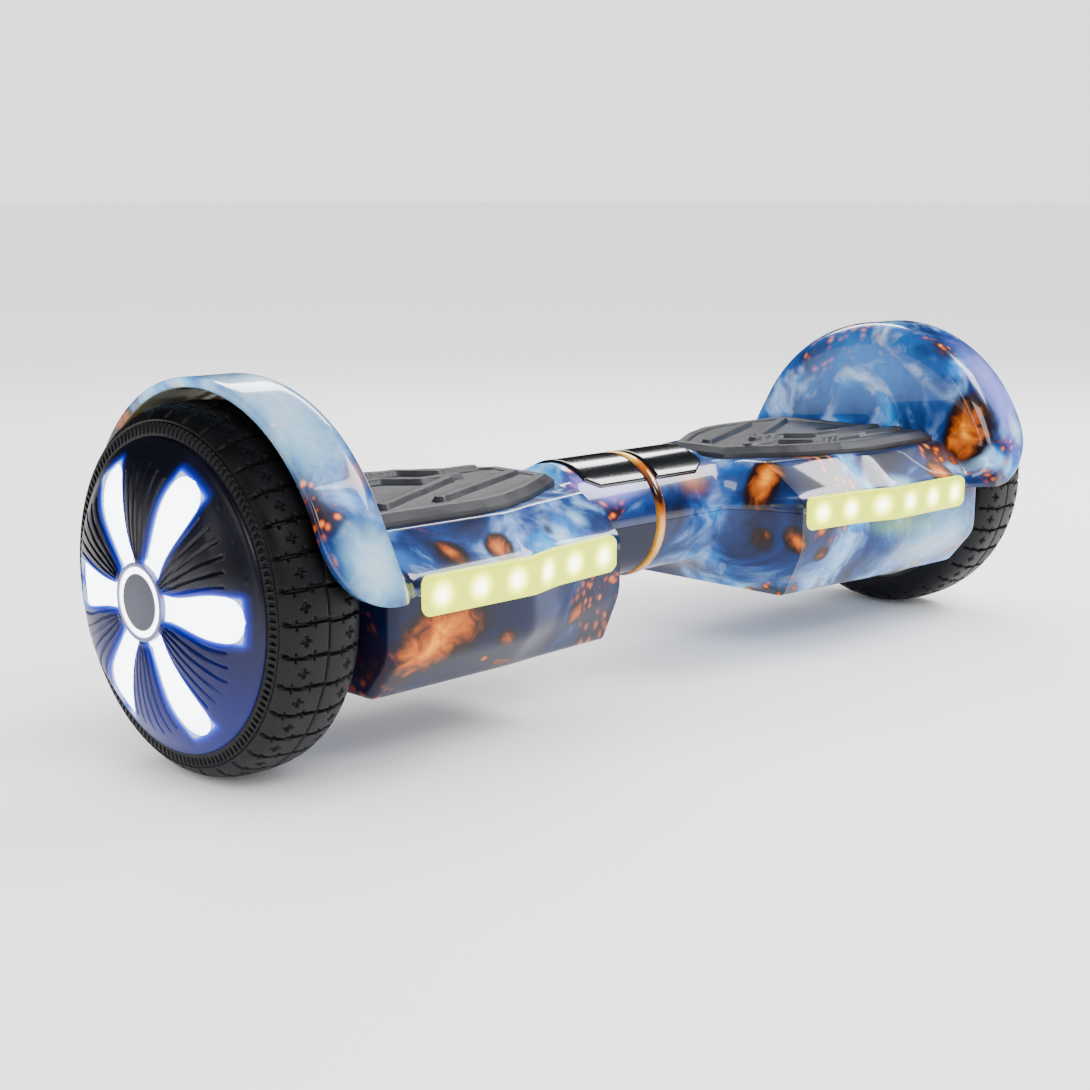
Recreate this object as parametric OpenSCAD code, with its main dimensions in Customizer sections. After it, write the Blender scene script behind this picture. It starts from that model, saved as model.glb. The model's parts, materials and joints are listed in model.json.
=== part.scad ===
// Self balancing hoverboard with 6.5 inch hub motor wheels.
// The origin is on the floor under the centre of the board.
// X runs along the board, the front is -Y and Z points up.
// Every module is drawn for the half on the +X side and mirrored for the other one.

/* [Wheel] */
// Radius of the tyre
tyre_r = 82.5; // [72:0.5:90]
// Distance from the centre of the board to the inner side of the tyre
tyre_x = 236; // [230:1:250]
// Width of the tyre
tyre_w = 44; // [36:1:52]
// Height of the rubber over the rim
tyre_h = 16.5; // [10:0.5:19]
// Number of grooves across the tread
tread_grooves = 36; // [12:2:48]
// Depth of the grooves across the tread
groove_depth = 2.4; // [1:0.1:4]
// Height of the domed wheel cover over its own edge
dome_h = 12.8; // [4:0.2:18]
// Radius of the badge in the wheel cover
badge_r = 17.2; // [12:0.2:20]
// Number of lit windows in a wheel cover
windows = 6; // [3:1:6]

/* [Fender] */
// Gap between the tyre and the inside of the fender
fender_gap = 5.4; // [3:0.2:9]
// Thickness of the fender
fender_t = 4.8; // [2.5:0.1:7]
// Width of the fender over the tyre
fender_w = 37.5; // [28:0.5:42]
// Radius of the fender's lower outer corner
fender_corner = 34; // [20:1:40]

/* [Body] */
// Height of the deck above the floor
deck_z = 110; // [100:1:116]
// Height of the underside above the floor
floor_z = 38; // [30:1:46]
// Half depth of the body at its widest place
body_y = 82.5; // [78:0.5:88]
// Thickness of the shell walls
wall = 2.6; // [2:0.1:3.4]
// Distance from the centre to the inner corner of a body
inner_x = 74; // [70:1:82]

/* [Pivot] */
// Height of the pivot axis above the floor
pivot_z = 85; // [80:1:88]
// Outer radius of the sleeve between the bodies
sleeve_r = 32; // [28:0.5:36]
// Width of the collar ring in the middle
collar_w = 5; // [3:0.5:8]
// Outer radius of the steel pivot tube
tube_r = 14; // [12:0.5:15]
// Reach of the pivot tube to each side
tube_x = 90; // [84:1:96]

/* [Foot pad] */
// Height of the pad above the deck
pad_h = 7.4; // [5:0.2:10]
// Travel of a pad under a foot
pad_travel = 1.2; // [0.6:0.1:1.6]

/* [Front light] */
// Height of the light strip
lens_h = 18; // [12:1:22]
// Number of light points in a strip
lights = 6; // [3:1:8]

/* [Axle] */
// Radius of the axle in its clamp
axle_r = 8; // [6.5:0.5:9]
// Radius of the axle in the outer bearing
axle_end_r = 6; // [4:0.5:6.5]

/* [Controls] */
// Radius of the charging socket's bore
socket_r = 6; // [5:0.5:7]
// Radius of the power button
button_r = 7; // [5:0.5:8]

/* [Hidden] */
$fn = 72;

// Clearances
cut = 1;                                 // overshoot of a cutting body
run = 0.04;                              // radial running clearance of a shaft in its bearing
gap = 0.3;                               // gap between a moving piece and what guides it

// Places along the board, from the centre
body_x = tyre_x - 10;                    // outer end of the body, inner face of the fender
fender_x = body_x + fender_w;            // outer edge of the fender
fender_r = tyre_r + fender_gap + fender_t;
step_x = [119, 141];                     // where the body's sides step outwards
axle_z = tyre_r;
seam_z = pivot_z;                        // top and bottom shells meet at the pivot's height

// One station of the body: [x, top half width, side half width, bottom half width,
// height of the side's upper edge, height of its lower edge, height of the underside]
upper_z = deck_z - 18;
lower_z = floor_z + 20;
stations = [
    [inner_x - 20, 18, 30, 20, deck_z - 8, floor_z + 32, floor_z + 14],
    [inner_x, 44, body_y - 12, 59, upper_z, lower_z + 6, floor_z],
    [step_x[0], 54, body_y - 7, 62, upper_z, lower_z + 2, floor_z],
    [step_x[1], 61, body_y, 64, upper_z, lower_z, floor_z],
    [body_x, 60, body_y, 66, upper_z, lower_z, floor_z]];

// Half width of the body's side at a distance along the board
function side_y(x) = lookup(x, [for (s = stations) [s[0], s[2]]]);

// Rings of the upper and lower half of the body, shrunk by w and reaching past the seam by over
function upper_ring(s, w, over) = let (x = s[0], t = s[1] - w, y = s[2] - w, zu = s[4] - w / 3)
    [[x, -y, seam_z - over], [x, -y, zu], [x, -t, deck_z - w], [x, t, deck_z - w], [x, y, zu],
        [x, y, seam_z - over]];
function lower_ring(s, w, over) =
    let (x = s[0], b = s[3] - w, y = s[2] - w, zl = s[5] + w / 3, zb = s[6] + w)
    [[x, -y, seam_z + over], [x, -y, zl], [x, -b, zb], [x, b, zb], [x, y, zl], [x, y, seam_z + over]];

// Solid through a list of rings that all have the same number of points
module loft(rings, flip = false) {
    n = len(rings[0]);
    m = len(rings);
    sides = [for (i = [0 : m - 2], j = [0 : n - 1]) let (a = i * n + j, b = i * n + (j + 1) % n)
        each [[a, b, b + n], [a, b + n, a + n]]];
    end = (m - 1) * n;
    caps = [for (j = [1 : n - 2]) each [[0, j + 1, j], [end, end + j, end + j + 1]]];
    polyhedron([for (r = rings) each r],
        [for (f = concat(sides, caps)) flip ? [f[2], f[1], f[0]] : f]);
}

// Stations moved inwards by w at the inner end and by e at the outer end, for the hollow of a shell
function inset_ends(w, e) = let (last = len(stations) - 1) [for (i = [0 : last])
    let (s = stations[i], shift = i == 0 ? 1.6 * w : i == 1 ? w / 2 : i == last ? -e : 0)
        concat([s[0] + shift], [for (k = [1 : 6]) s[k]])];

module upper_body(w = 0, over = 0, e = 0) loft([for (s = inset_ends(w, e)) upper_ring(s, w, over)]);
module lower_body(w = 0, over = 0, e = 0) loft([for (s = inset_ends(w, e)) lower_ring(s, w, over)], true);

// Half sleeve between the bodies, level with the deck beyond the cap's end
module sleeve(side) difference() {
    xcyl(sleeve_r, sleeve_start(side), inner_x + 4, pivot_z);
    span([sleeve_x, -sleeve_r - cut, deck_z], [inner_x + 5, sleeve_r + cut, pivot_z + sleeve_r + cut]);
}
module sleeve_hollow(side) {
    xcyl(sleeve_r - wall, sleeve_start(side) - cut, sleeve_x - wall, pivot_z);
    xcyl(boss_r + 1.5, sleeve_x - wall - cut, inner_x + 12, pivot_z);
}

// Cylinder along X between two places
module xcyl(r, x0, x1, z, y = 0) translate([x0, y, z]) rotate([0, 90, 0]) cylinder(r = r, h = x1 - x0);
// Ring along X between two places
module xring(r0, r1, x0, x1, z) difference() {
    xcyl(r1, x0, x1, z);
    xcyl(r0, x0 - cut, x1 + cut, z);
}
// Cylinder along Z between two heights
module zcyl(r, z0, z1, x, y) translate([x, y, z0]) cylinder(r = r, h = z1 - z0);
// Box between two corners
module span(a, b) translate(a) cube(b - a);
// Profile of radius and place along X, turned round the axle
module turned(points) translate([0, 0, axle_z]) rotate([0, 90, 0]) rotate_extrude() polygon(points);
// Copies turned evenly round the axle
module round_axle(n) for (i = [0 : n - 1]) translate([0, 0, axle_z]) rotate([i * 360 / n, 0, 0]) children();
// Cylinder that reaches h forwards from the place y on the rear side, at the height of the controls
module rear_cyl(r, x, y, h) translate([x, y, control_z]) rotate([90, 0, 0]) cylinder(r = r, h = h);
// Both halves from the same drawing
module half(side) {
    if (side < 0) mirror([1, 0, 0]) children();
    else children();
}

// ---- Foot pad ----
pad_z = deck_z - 0.4;                    // underside of the pad, just inside its pocket
pad_top_z = deck_z + pad_h;
pad_line = [[66, 20], [104, 43], [130, 54], [146, 57], [body_x - 12, 56]];
pocket_z = pad_z - pad_travel - gap;
buffer_r = 6;
buffer_places = [[100, 26], [100, -26], [196, 40], [196, -40]];
stud_z = 98;                             // lower end of the pad's buffers

pad_end = len(pad_line) - 1;
// Outline of the pad grown by g: its two ends move along the board, all its edge moves outwards
function pad_edge(i, g) = [pad_line[i][0] + (i == 0 ? -g : i == pad_end ? g : 0), pad_line[i][1] + g];
function pad_outline(g) = concat([for (i = [0 : pad_end]) let (p = pad_edge(i, g)) [p[0], -p[1]]],
    [for (i = [pad_end : -1 : 0]) pad_edge(i, g)]);
module foot_pad() color("#26282b") difference() {
    hull() {
        translate([0, 0, pad_z]) linear_extrude(pad_h * 0.6) polygon(pad_outline(0));
        translate([0, 0, pad_z]) linear_extrude(pad_top_z - pad_z) polygon(pad_outline(-3));
    }
    for (p = buffer_places) zcyl(buffer_r - 2, pad_z - cut, pad_z + 3, p[0], p[1]);
}
module pad_buffers() color("#3c3f42") for (p = buffer_places) {
    zcyl(buffer_r, stud_z, pad_z, p[0], p[1]);
    zcyl(buffer_r - 2, stud_z, pad_z + 3, p[0], p[1]);
}

// ---- Front light ----
lens_x = [inner_x + 1, body_x - 17];
lens_z = seam_z - 1;                     // middle height of the strip
lens_out = 1.2;                          // how far the lens stands proud
board_t = 1.6;
board_back = wall + 2 + gap;             // from the body's side to the light board
strip_x = [lens_x[0], step_x[0], step_x[1], lens_x[1]];
board_x = [lens_x[0] + 3, step_x[0], step_x[1], lens_x[1] - 2];
// Band along the front side through the places xs, between two offsets from that side
module side_band(xs, out, back, height) translate([0, 0, lens_z - height / 2]) linear_extrude(height)
    polygon(concat([for (x = xs) [x, -side_y(x) - out]],
        [for (i = [len(xs) - 1 : -1 : 0]) [xs[i], -side_y(xs[i]) + back]]));
module light_lens() color("#e8f0a8") side_band(strip_x, lens_out, wall, lens_h);
module light_board() color("#2f6b3a") {
    side_band(board_x, -board_back, board_back + board_t, lens_h - 6);
    for (i = [0 : lights - 1]) {
        x = board_x[0] + (i + 0.5) * (board_x[3] - board_x[0]) / lights;
        side_band([x - 3, x + 3], -wall, board_back + board_t / 2, 6);
    }
}

// ---- Shells ----
post_r = 4;
screw_r = 1.5;
screw_head_r = 3;
shell_screw_places = [[88, 52], [88, -52], [214, 52], [214, -52]];
pillar_places = [[112, 45], [112, -45], [196, 45], [196, -45]];
plate_z = [68, 73];                      // chassis plate
plate_y = 46;
hub_hole_r = 22;                         // hole for the axle in the end of the body
socket_x = 165;
button_x = 192;
control_z = lower_z + 13;
speaker_x = inner_x + 18;
speaker_r = 12;

// Outside and inside of the fender as profiles turned round the axle
function shoulder(r, x, dr, dx) = [for (t = [0 : 15 : 90]) [r - dr * (1 - sin(t)), x + dx * (1 - cos(t))]];
module fender() difference() {
    turned(concat([[0, body_x]], shoulder(fender_r, body_x, 9, 12), [[fender_r, fender_x], [0, fender_x]]));
    turned(concat([[0, body_x + wall]],
        shoulder(fender_r - fender_t, body_x + wall, 7, 9),
        [[fender_r - fender_t, fender_x + cut], [0, fender_x + cut]]));
    span([body_x - cut, -fender_r - cut, -fender_r], [fender_x + cut, fender_r + cut, seam_z]);
    translate([fender_x - fender_corner, fender_r + cut, seam_z + fender_corner]) rotate([90, 0, 0])
        linear_extrude(2 * fender_r + 2 * cut) difference() {
            translate([0, -fender_corner - cut]) square(fender_corner + cut);
            circle(r = fender_corner);
        }
}
module pocket(g) translate([0, 0, pocket_z]) linear_extrude(deck_z) polygon(pad_outline(g));

module top_shell(side) color("#2b63a8") difference() {
    union() {
        difference() {
            union() {
                upper_body();
                sleeve(side);
            }
            upper_body(wall + 2, cut);
            sleeve_hollow(side);
            span([0, -sleeve_r - cut, 0], [inner_x + 6, sleeve_r + cut, seam_z]);
        }
        fender();
        intersection() {
            upper_body(wall / 2);
            for (p = shell_screw_places) zcyl(post_r, seam_z, deck_z, p[0], p[1]);
        }
        for (p = buffer_places) zcyl(buffer_r + 2, stud_z + 1, deck_z - wall, p[0], p[1]);
    }
    pocket(gap);
    side_band(strip_x, lens_out, wall + 3, lens_h);
    xcyl(hub_hole_r, body_x - wall - 4, body_x + wall + cut, axle_z);
    for (p = shell_screw_places) zcyl(screw_r, seam_z - cut, seam_z + 10, p[0], p[1]);
    for (p = buffer_places) zcyl(buffer_r + gap, stud_z - cut, deck_z + cut, p[0], p[1]);
}

module bottom_shell(side) color("#263a6b") difference() {
    union() {
        difference() {
            union() {
                lower_body();
                sleeve(side);
            }
            lower_body(wall, cut, wall);
            sleeve_hollow(side);
            span([0, -sleeve_r - cut, seam_z], [inner_x + 6, sleeve_r + cut, deck_z + sleeve_r]);
        }
        for (p = shell_screw_places) zcyl(post_r, floor_z + wall - 0.2, seam_z, p[0], p[1]);
        for (p = pillar_places) zcyl(post_r + 1, floor_z + wall - 0.2, plate_z[0], p[0], p[1]);
        if (side < 0) for (p = board_posts) zcyl(3, floor_z + wall - 0.2, main_board_z, p[0], p[1]);
    }
    side_band(strip_x, lens_out, wall + 3, lens_h);
    xcyl(hub_hole_r, body_x - wall - 4, body_x + cut, axle_z);
    for (p = shell_screw_places) {
        zcyl(screw_r, floor_z - cut, seam_z + cut, p[0], p[1]);
        zcyl(screw_head_r + gap, floor_z - cut, floor_z + 2, p[0], p[1]);
    }
    if (side < 0) {
        rear_cyl(socket_r + 3, socket_x, body_y + cut, wall + 2 * cut);
        rear_cyl(button_r + gap, button_x, body_y + cut, wall + 2 * cut);
        for (a = [0 : 60 : 300], d = [4, 9])
            zcyl(1.4, floor_z - cut, floor_z + wall + cut, speaker_x + d * cos(a), d * sin(a));
    }
}
module shell_screws() color("#8c8f94") for (p = shell_screw_places) {
    zcyl(screw_head_r, floor_z + 0.2, floor_z + 2, p[0], p[1]);
    zcyl(screw_r, floor_z + 1, seam_z + 8, p[0], p[1]);
}

// ---- Pivot ----
function sleeve_start(side) = side < 0 ? 1.6 : collar_w - 1;
sleeve_x = 52;                           // where the sleeve drops to the deck
cap_t = 1.4;
cap_x = 46;
module tube_cap(side) color("#101114") intersection() {
    xring(sleeve_r, sleeve_r + cap_t, sleeve_start(side) + 1, cap_x, pivot_z);
    translate([0, 0, pivot_z]) rotate([0, 90, 0]) linear_extrude(cap_x + cut)
        polygon([[0, 0], [-60, -72], [-60, 72]]);
}
bush_t = 3;
bush_l = 20;
boss_r = 20;
boss_x = [9, tube_x - 4];
module pivot_tube() color("#a9adb1") xring(tube_r - 4, tube_r, -tube_x, tube_x, pivot_z);
module pivot_bushes() color("#b08d3c") for (x = [boss_x[0], boss_x[1] - bush_l])
    xring(tube_r + run, tube_r + bush_t, x, x + bush_l, pivot_z);
module retaining_ring() color("#3a3c3f")
    xring(tube_r, tube_r + 3.5, boss_x[1] + gap, boss_x[1] + gap + 1.6, pivot_z);
module collar_ring() color("#d9a531") xring(tube_r + gap, sleeve_r + 1.5, -1, collar_w - 1, pivot_z);
cable_r = 3;
module tube_grommets() color("#202224") for (s = [-1, 1])
    translate([s * (tube_x - 4), 0, 0]) xring(cable_r, tube_r - 4, -4, 4, pivot_z);
module link_cable() color("#1b1c1e") xcyl(cable_r, -tube_x - 6, tube_x + 6, pivot_z);

// ---- Chassis, axle and clamp ----
cable_hole = [146, 32];
clamp_x = [162, 210];
clamp_y = 20;
clamp_top_z = axle_z + axle_r + 3;
bolt_r = 2.5;
bolt_places = [[clamp_x[0] + 8, 14], [clamp_x[0] + 8, -14], [clamp_x[1] - 8, 14], [clamp_x[1] - 8, -14]];
module chassis(side) color("#b9bcc0") difference() {
    union() {
        span([inner_x + 3, -plate_y, plate_z[0]], [clamp_x[1] + 4, plate_y, plate_z[1]]);
        span([inner_x + 3, -14, plate_z[1] - cut], [clamp_x[0], 14, plate_z[1] + 5]);
        xcyl(boss_r, boss_x[0], boss_x[1], pivot_z);
        span([clamp_x[0], -clamp_y, plate_z[1] - cut], [clamp_x[1], clamp_y, axle_z]);
    }
    xcyl(side < 0 ? tube_r : tube_r + bush_t, boss_x[0] - cut, boss_x[1] + cut, pivot_z);
    xcyl(boss_r - 1, boss_x[1], tube_x + 7, pivot_z);
    xcyl(axle_r, clamp_x[0] - 11, clamp_x[1] + cut, axle_z);
    for (p = bolt_places) zcyl(bolt_r, plate_z[0] - cut, axle_z + cut, p[0], p[1]);
    zcyl(7, plate_z[0] - cut, plate_z[1] + cut, cable_hole[0], cable_hole[1]);
}
module axle_clamp() color("#9a9da1") difference() {
    span([clamp_x[0], -clamp_y, axle_z], [clamp_x[1], clamp_y, clamp_top_z]);
    xcyl(axle_r, clamp_x[0] - cut, clamp_x[1] + cut, axle_z);
    for (p = bolt_places) zcyl(bolt_r, axle_z - cut, clamp_top_z + cut, p[0], p[1]);
}
module clamp_bolts() color("#3b3d40") for (p = bolt_places) {
    zcyl(bolt_r, plate_z[0], clamp_top_z, p[0], p[1]);
    zcyl(bolt_r + 1.8, clamp_top_z, clamp_top_z + 4, p[0], p[1]);
}
hub_x = tyre_x + 2;                      // inner face of the motor
rim_w = tyre_w - 4;
stator_x = [hub_x + 8, hub_x + 26];
bearing_r = [17.5, 14];
bearing_w = 9;
neck_r = axle_r + 0.5;
module axle() color("#8f9296") difference() {
    union() {
        xcyl(axle_r, clamp_x[0] - 10, body_x + 2, axle_z);
        xcyl(neck_r, body_x + 2, stator_x[0], axle_z);
        xcyl(neck_r + 1, stator_x[0], stator_x[1], axle_z);
        xcyl(axle_end_r, stator_x[1], hub_x + rim_w - 5, axle_z);
    }
    xcyl(cable_r, clamp_x[0] - 10 - cut, stator_x[0] + 2, axle_z);
}
stator_r = tyre_r - tyre_h - 15;
teeth = 27;
module stator() color("#b5652a") difference() {
    xcyl(stator_r, stator_x[0], stator_x[1], axle_z);
    xcyl(neck_r + 1, stator_x[0] - cut, stator_x[1] + cut, axle_z);
    round_axle(teeth)
        span([stator_x[0] - cut, -1.2, stator_r - 16], [stator_x[1] + cut, 1.2, stator_r - 2]);
}

// ---- Wheel ----
rim_r = tyre_r - tyre_h;
magnet_r = [stator_r + 0.8, stator_r + 4];
rim_in_r = magnet_r[1];
poles = 30;
rim_face_x = hub_x + rim_w;
tread_flat = 1.02;                       // over 1, the middle of the tread is flat
groove_w = 5;
groove_end = 5;                          // solid rubber past each end of a groove
module tyre() color("#17181a") difference() {
    turned(concat([[rim_r + 4, hub_x], [rim_r, hub_x], [rim_r, rim_face_x], [rim_r + 4, rim_face_x]],
        [for (t = [0 : 10 : 180]) [rim_r + 4 + (tyre_h - 4) * pow(min(sin(t) * tread_flat, 1), 0.55),
            tyre_x + tyre_w / 2 + tyre_w / 2 * sign(cos(t)) * pow(abs(cos(t)), 0.5)]]));
    round_axle(tread_grooves) span([tyre_x + groove_end, -groove_w / 2, tyre_r - groove_depth],
        [tyre_x + tyre_w - groove_end, groove_w / 2, tyre_r + cut]);
}
module rim_drum() difference() {
    turned([[0, rim_face_x - 6], [0, rim_face_x], [rim_r, rim_face_x], [rim_r, hub_x], [rim_in_r, hub_x],
        [rim_in_r, rim_face_x - 6]]);
    xcyl(bearing_r[1], rim_face_x - 6 - cut, rim_face_x - 2, axle_z);
}
module rim_hub() difference() {
    xcyl(bearing_r[1] + 4, stator_x[1] + 1, rim_face_x - 5, axle_z);
    xcyl(bearing_r[1], stator_x[1], rim_face_x - 4, axle_z);
}
module motor_rim() color("#2b2d30") union() {
    rim_drum();
    rim_hub();
}
module motor_side_cover() color("#5c6066") difference() {
    union() {
        xcyl(rim_r - 2, hub_x - 5, hub_x, axle_z);
        xcyl(bearing_r[0] + 4, hub_x - 5, stator_x[0] - 1, axle_z);
    }
    xcyl(neck_r + 1, hub_x - 5 - cut, stator_x[0], axle_z);
    xcyl(bearing_r[0], hub_x - 3, stator_x[0], axle_z);
    round_axle(6) xcyl(screw_r, hub_x - 5 - cut, hub_x + cut, (rim_in_r + rim_r) / 2);
}
module side_cover_screws() color("#8c8f94") round_axle(6) {
    xcyl(screw_head_r - 0.5, hub_x - 6.6, hub_x - 5, (rim_in_r + rim_r) / 2);
    xcyl(screw_r, hub_x - 5, hub_x, (rim_in_r + rim_r) / 2);
}
module magnets() color("#77797c") round_axle(poles) intersection() {
    xring(magnet_r[0], magnet_r[1], stator_x[0], stator_x[1], 0);
    span([stator_x[0] - cut, -4.6, 0], [stator_x[1] + cut, 4.6, rim_r]);
}
module bearings() color("#c4c7ca") {
    xring(neck_r + run, bearing_r[0], hub_x - 3, hub_x - 3 + bearing_w, axle_z);
    xring(axle_end_r + run, bearing_r[1], rim_face_x - 4 - bearing_w, rim_face_x - 4, axle_z);
}

cover_r = rim_r + 3;
cover_edge_x = rim_face_x + 5.2;
cover_t = 2.6;
light_t = 2;
window_r = [24, 57];
// Outer surface of the dome at radius r, back by d
function dome(r, d) = cover_edge_x - d + dome_h * (1 - pow(max(r - badge_r, 0) / (cover_r - badge_r), 2.2));
dome_radii = [for (i = [0 : 8]) badge_r + (cover_r - badge_r) * i / 8];
light_radii = [for (i = [0 : 7]) badge_r + (window_r[1] + 3 - badge_r) * i / 7];
module dome_layer(radii, d0, d1) turned(concat([for (r = radii) [r, dome(r, d0)]],
    [for (i = [len(radii) - 1 : -1 : 0]) [radii[i], dome(radii[i], d1)]]));
module window_cut() round_axle(windows) rotate([90, 0, 0]) translate([rim_face_x + 3, 0, 0])
    rotate([0, 90, 0]) linear_extrude(dome_h + 12) union() {
        polygon([[window_r[0], -2.6], [window_r[1], -8], [window_r[1], 8], [window_r[0], 2.6]]);
        translate([window_r[1], 0]) circle(r = 6);
    }
module wheel_cover() color("#1c1d22") difference() {
    union() {
        dome_layer(dome_radii, 0, cover_t);
        xring(cover_r - 3, cover_r, rim_face_x, cover_edge_x, axle_z);
    }
    window_cut();
}
module wheel_light() color("#eef4ff") union() {
    dome_layer(light_radii, cover_t + gap, cover_t + gap + light_t);
    xring(badge_r, badge_r + 2, rim_face_x, dome(badge_r + 2, cover_t + gap), axle_z);
}
module wheel_badge() color("#8d8aa0") xcyl(badge_r, dome(badge_r, cover_t), dome(badge_r, 0), axle_z);

// ---- Electric parts ----
board_posts = [[114, 30], [114, -30], [206, 30], [206, -30]];
main_board_z = floor_z + 10;
module battery_pack() color("#3567b8") span([90, -39, floor_z + wall], [clamp_x[1] + 4, 39, plate_z[0]]);
module main_board() color("#1f6b3a") {
    span([110, -36, main_board_z], [212, 36, main_board_z + board_t]);
    for (x = [118 : 14 : 188]) span([x, -28, main_board_z + board_t], [x + 8, -20, main_board_z + 10]);
    span([116, -14, main_board_z + board_t], [196, 10, plate_z[0]]);
    zcyl(7, main_board_z + board_t, plate_z[0] - 2, 200, 24);
}
module sensor_board() color("#1f6b3a") {
    span([122, -45, plate_z[1] + 3], [158, -18, plate_z[1] + 3 + board_t]);
    for (x = [126, 154], y = [-41, -22]) zcyl(2, plate_z[1], plate_z[1] + 4, x, y);
    span([136, -36, plate_z[1] + 4], [144, -28, plate_z[1] + 7]);
}
module speaker() color("#1b1c1e") {
    zcyl(speaker_r, floor_z + wall, floor_z + wall + 4, speaker_x, 0);
    zcyl(speaker_r - 5, floor_z + wall + 4, floor_z + wall + 9, speaker_x, 0);
}
module charge_socket() color("#9ea1a5") difference() {
    union() {
        rear_cyl(socket_r + 5, socket_x, body_y + 1.2, 1.2);
        rear_cyl(socket_r + 3, socket_x, body_y, 14);
    }
    rear_cyl(socket_r, socket_x, body_y + 1.2 + cut, 11.2 + cut);
}
module power_switch() color("#202226") difference() {
    rear_cyl(button_r + 3, button_x, body_y - wall, 10);
    rear_cyl(button_r + gap, button_x, body_y - wall + cut, 6 + cut);
}
module power_button() color("#d5d8dc") rear_cyl(button_r, button_x, body_y + 1, wall + 5);

// Cable as a chain of rings along a route, whose points all turn away from the vector aside
aside = [0.3, -0.5, 0.8];
cable_sides = 8;
function cable_ring(route, i, r) = let (last = len(route) - 1,
        d = route[min(i + 1, last)] - route[max(i - 1, 0)], u = d / norm(d),
        a = cross(u, aside), p = a / norm(a), q = cross(u, p))
    [for (k = [0 : cable_sides - 1]) let (t = k * 360 / cable_sides)
        route[i] + r * (cos(t) * p + sin(t) * q)];
// From the hollow end of the axle through the hole in the chassis to height z
function motor_route(z) = [[clamp_x[0] - 10, 0, axle_z], [146, 0, axle_z], [141, 3, axle_z],
    [138, 10, axle_z], [139, 20, axle_z - 1], [143, 28, axle_z - 4],
    [cable_hole[0], cable_hole[1], plate_z[1]], [cable_hole[0], cable_hole[1], z]];
module motor_cable(z) color("#1b1c1e")
    loft([for (i = [0 : 7]) cable_ring(motor_route(z), i, 2.4)]);

half(-1) top_shell(-1);  // left_top_shell
half(-1) bottom_shell(-1);  // left_bottom_shell
half(-1) foot_pad();  // left_foot_pad
half(-1) pad_buffers();  // left_pad_buffers
half(-1) light_lens();  // left_light_lens
half(-1) light_board();  // left_light_board
half(-1) tube_cap(-1);  // left_tube_cap
half(-1) chassis(-1);  // left_chassis
half(-1) axle_clamp();  // left_axle_clamp
half(-1) clamp_bolts();  // left_clamp_bolts
half(-1) sensor_board();  // left_sensor_board
half(-1) shell_screws();  // left_shell_screws
half(-1) axle();  // left_axle
half(-1) stator();  // left_stator
half(-1) tyre();  // left_tyre
half(-1) motor_rim();  // left_motor_rim
half(-1) motor_side_cover();  // left_motor_side_cover
half(-1) side_cover_screws();  // left_side_cover_screws
half(-1) magnets();  // left_magnets
half(-1) bearings();  // left_bearings
half(-1) wheel_cover();  // left_wheel_cover
half(-1) wheel_light();  // left_wheel_light
half(-1) wheel_badge();  // left_wheel_badge
half(1) top_shell(1);  // right_top_shell
half(1) bottom_shell(1);  // right_bottom_shell
half(1) foot_pad();  // right_foot_pad
half(1) pad_buffers();  // right_pad_buffers
half(1) light_lens();  // right_light_lens
half(1) light_board();  // right_light_board
half(1) tube_cap(1);  // right_tube_cap
half(1) chassis(1);  // right_chassis
half(1) axle_clamp();  // right_axle_clamp
half(1) clamp_bolts();  // right_clamp_bolts
half(1) sensor_board();  // right_sensor_board
half(1) shell_screws();  // right_shell_screws
half(1) axle();  // right_axle
half(1) stator();  // right_stator
half(1) tyre();  // right_tyre
half(1) motor_rim();  // right_motor_rim
half(1) motor_side_cover();  // right_motor_side_cover
half(1) side_cover_screws();  // right_side_cover_screws
half(1) magnets();  // right_magnets
half(1) bearings();  // right_bearings
half(1) wheel_cover();  // right_wheel_cover
half(1) wheel_light();  // right_wheel_light
half(1) wheel_badge();  // right_wheel_badge
pivot_tube();
pivot_bushes();
retaining_ring();
collar_ring();
tube_grommets();
link_cable();
half(-1) motor_cable(main_board_z + board_t);  // left_motor_cable
half(1) motor_cable(plate_z[0]);  // right_motor_cable
half(1) battery_pack();
half(-1) main_board();
half(-1) speaker();
half(-1) charge_socket();
half(-1) power_switch();
half(-1) power_button();
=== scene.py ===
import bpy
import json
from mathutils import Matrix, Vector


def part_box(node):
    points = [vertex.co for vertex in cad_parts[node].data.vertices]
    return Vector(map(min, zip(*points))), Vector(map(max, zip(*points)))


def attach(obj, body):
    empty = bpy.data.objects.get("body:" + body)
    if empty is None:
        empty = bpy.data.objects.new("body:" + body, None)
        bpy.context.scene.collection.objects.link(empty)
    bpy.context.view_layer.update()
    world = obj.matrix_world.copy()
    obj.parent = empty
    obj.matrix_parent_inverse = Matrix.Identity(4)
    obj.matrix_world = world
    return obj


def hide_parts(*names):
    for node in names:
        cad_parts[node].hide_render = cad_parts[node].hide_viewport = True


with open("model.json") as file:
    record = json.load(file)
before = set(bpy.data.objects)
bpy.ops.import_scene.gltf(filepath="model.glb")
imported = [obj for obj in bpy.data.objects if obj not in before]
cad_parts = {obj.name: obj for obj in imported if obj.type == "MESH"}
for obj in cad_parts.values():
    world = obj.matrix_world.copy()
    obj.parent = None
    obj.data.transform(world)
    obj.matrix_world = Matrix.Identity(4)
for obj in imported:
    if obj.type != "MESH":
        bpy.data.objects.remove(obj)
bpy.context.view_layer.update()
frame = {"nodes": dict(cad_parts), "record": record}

import json
import bmesh
import bpy
import numpy as np
from mathutils import Matrix, Vector

# Self balancing hoverboard. Shapes are worked out in millimetres for the half on the +X side,
# and are mirrored for the other one. The front with the light strips is -Y.
MM = 0.001


def cad(node):
    """Lowest and highest corner of a CAD node in millimetres."""
    return [np.array(corner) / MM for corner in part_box(node)]


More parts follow.
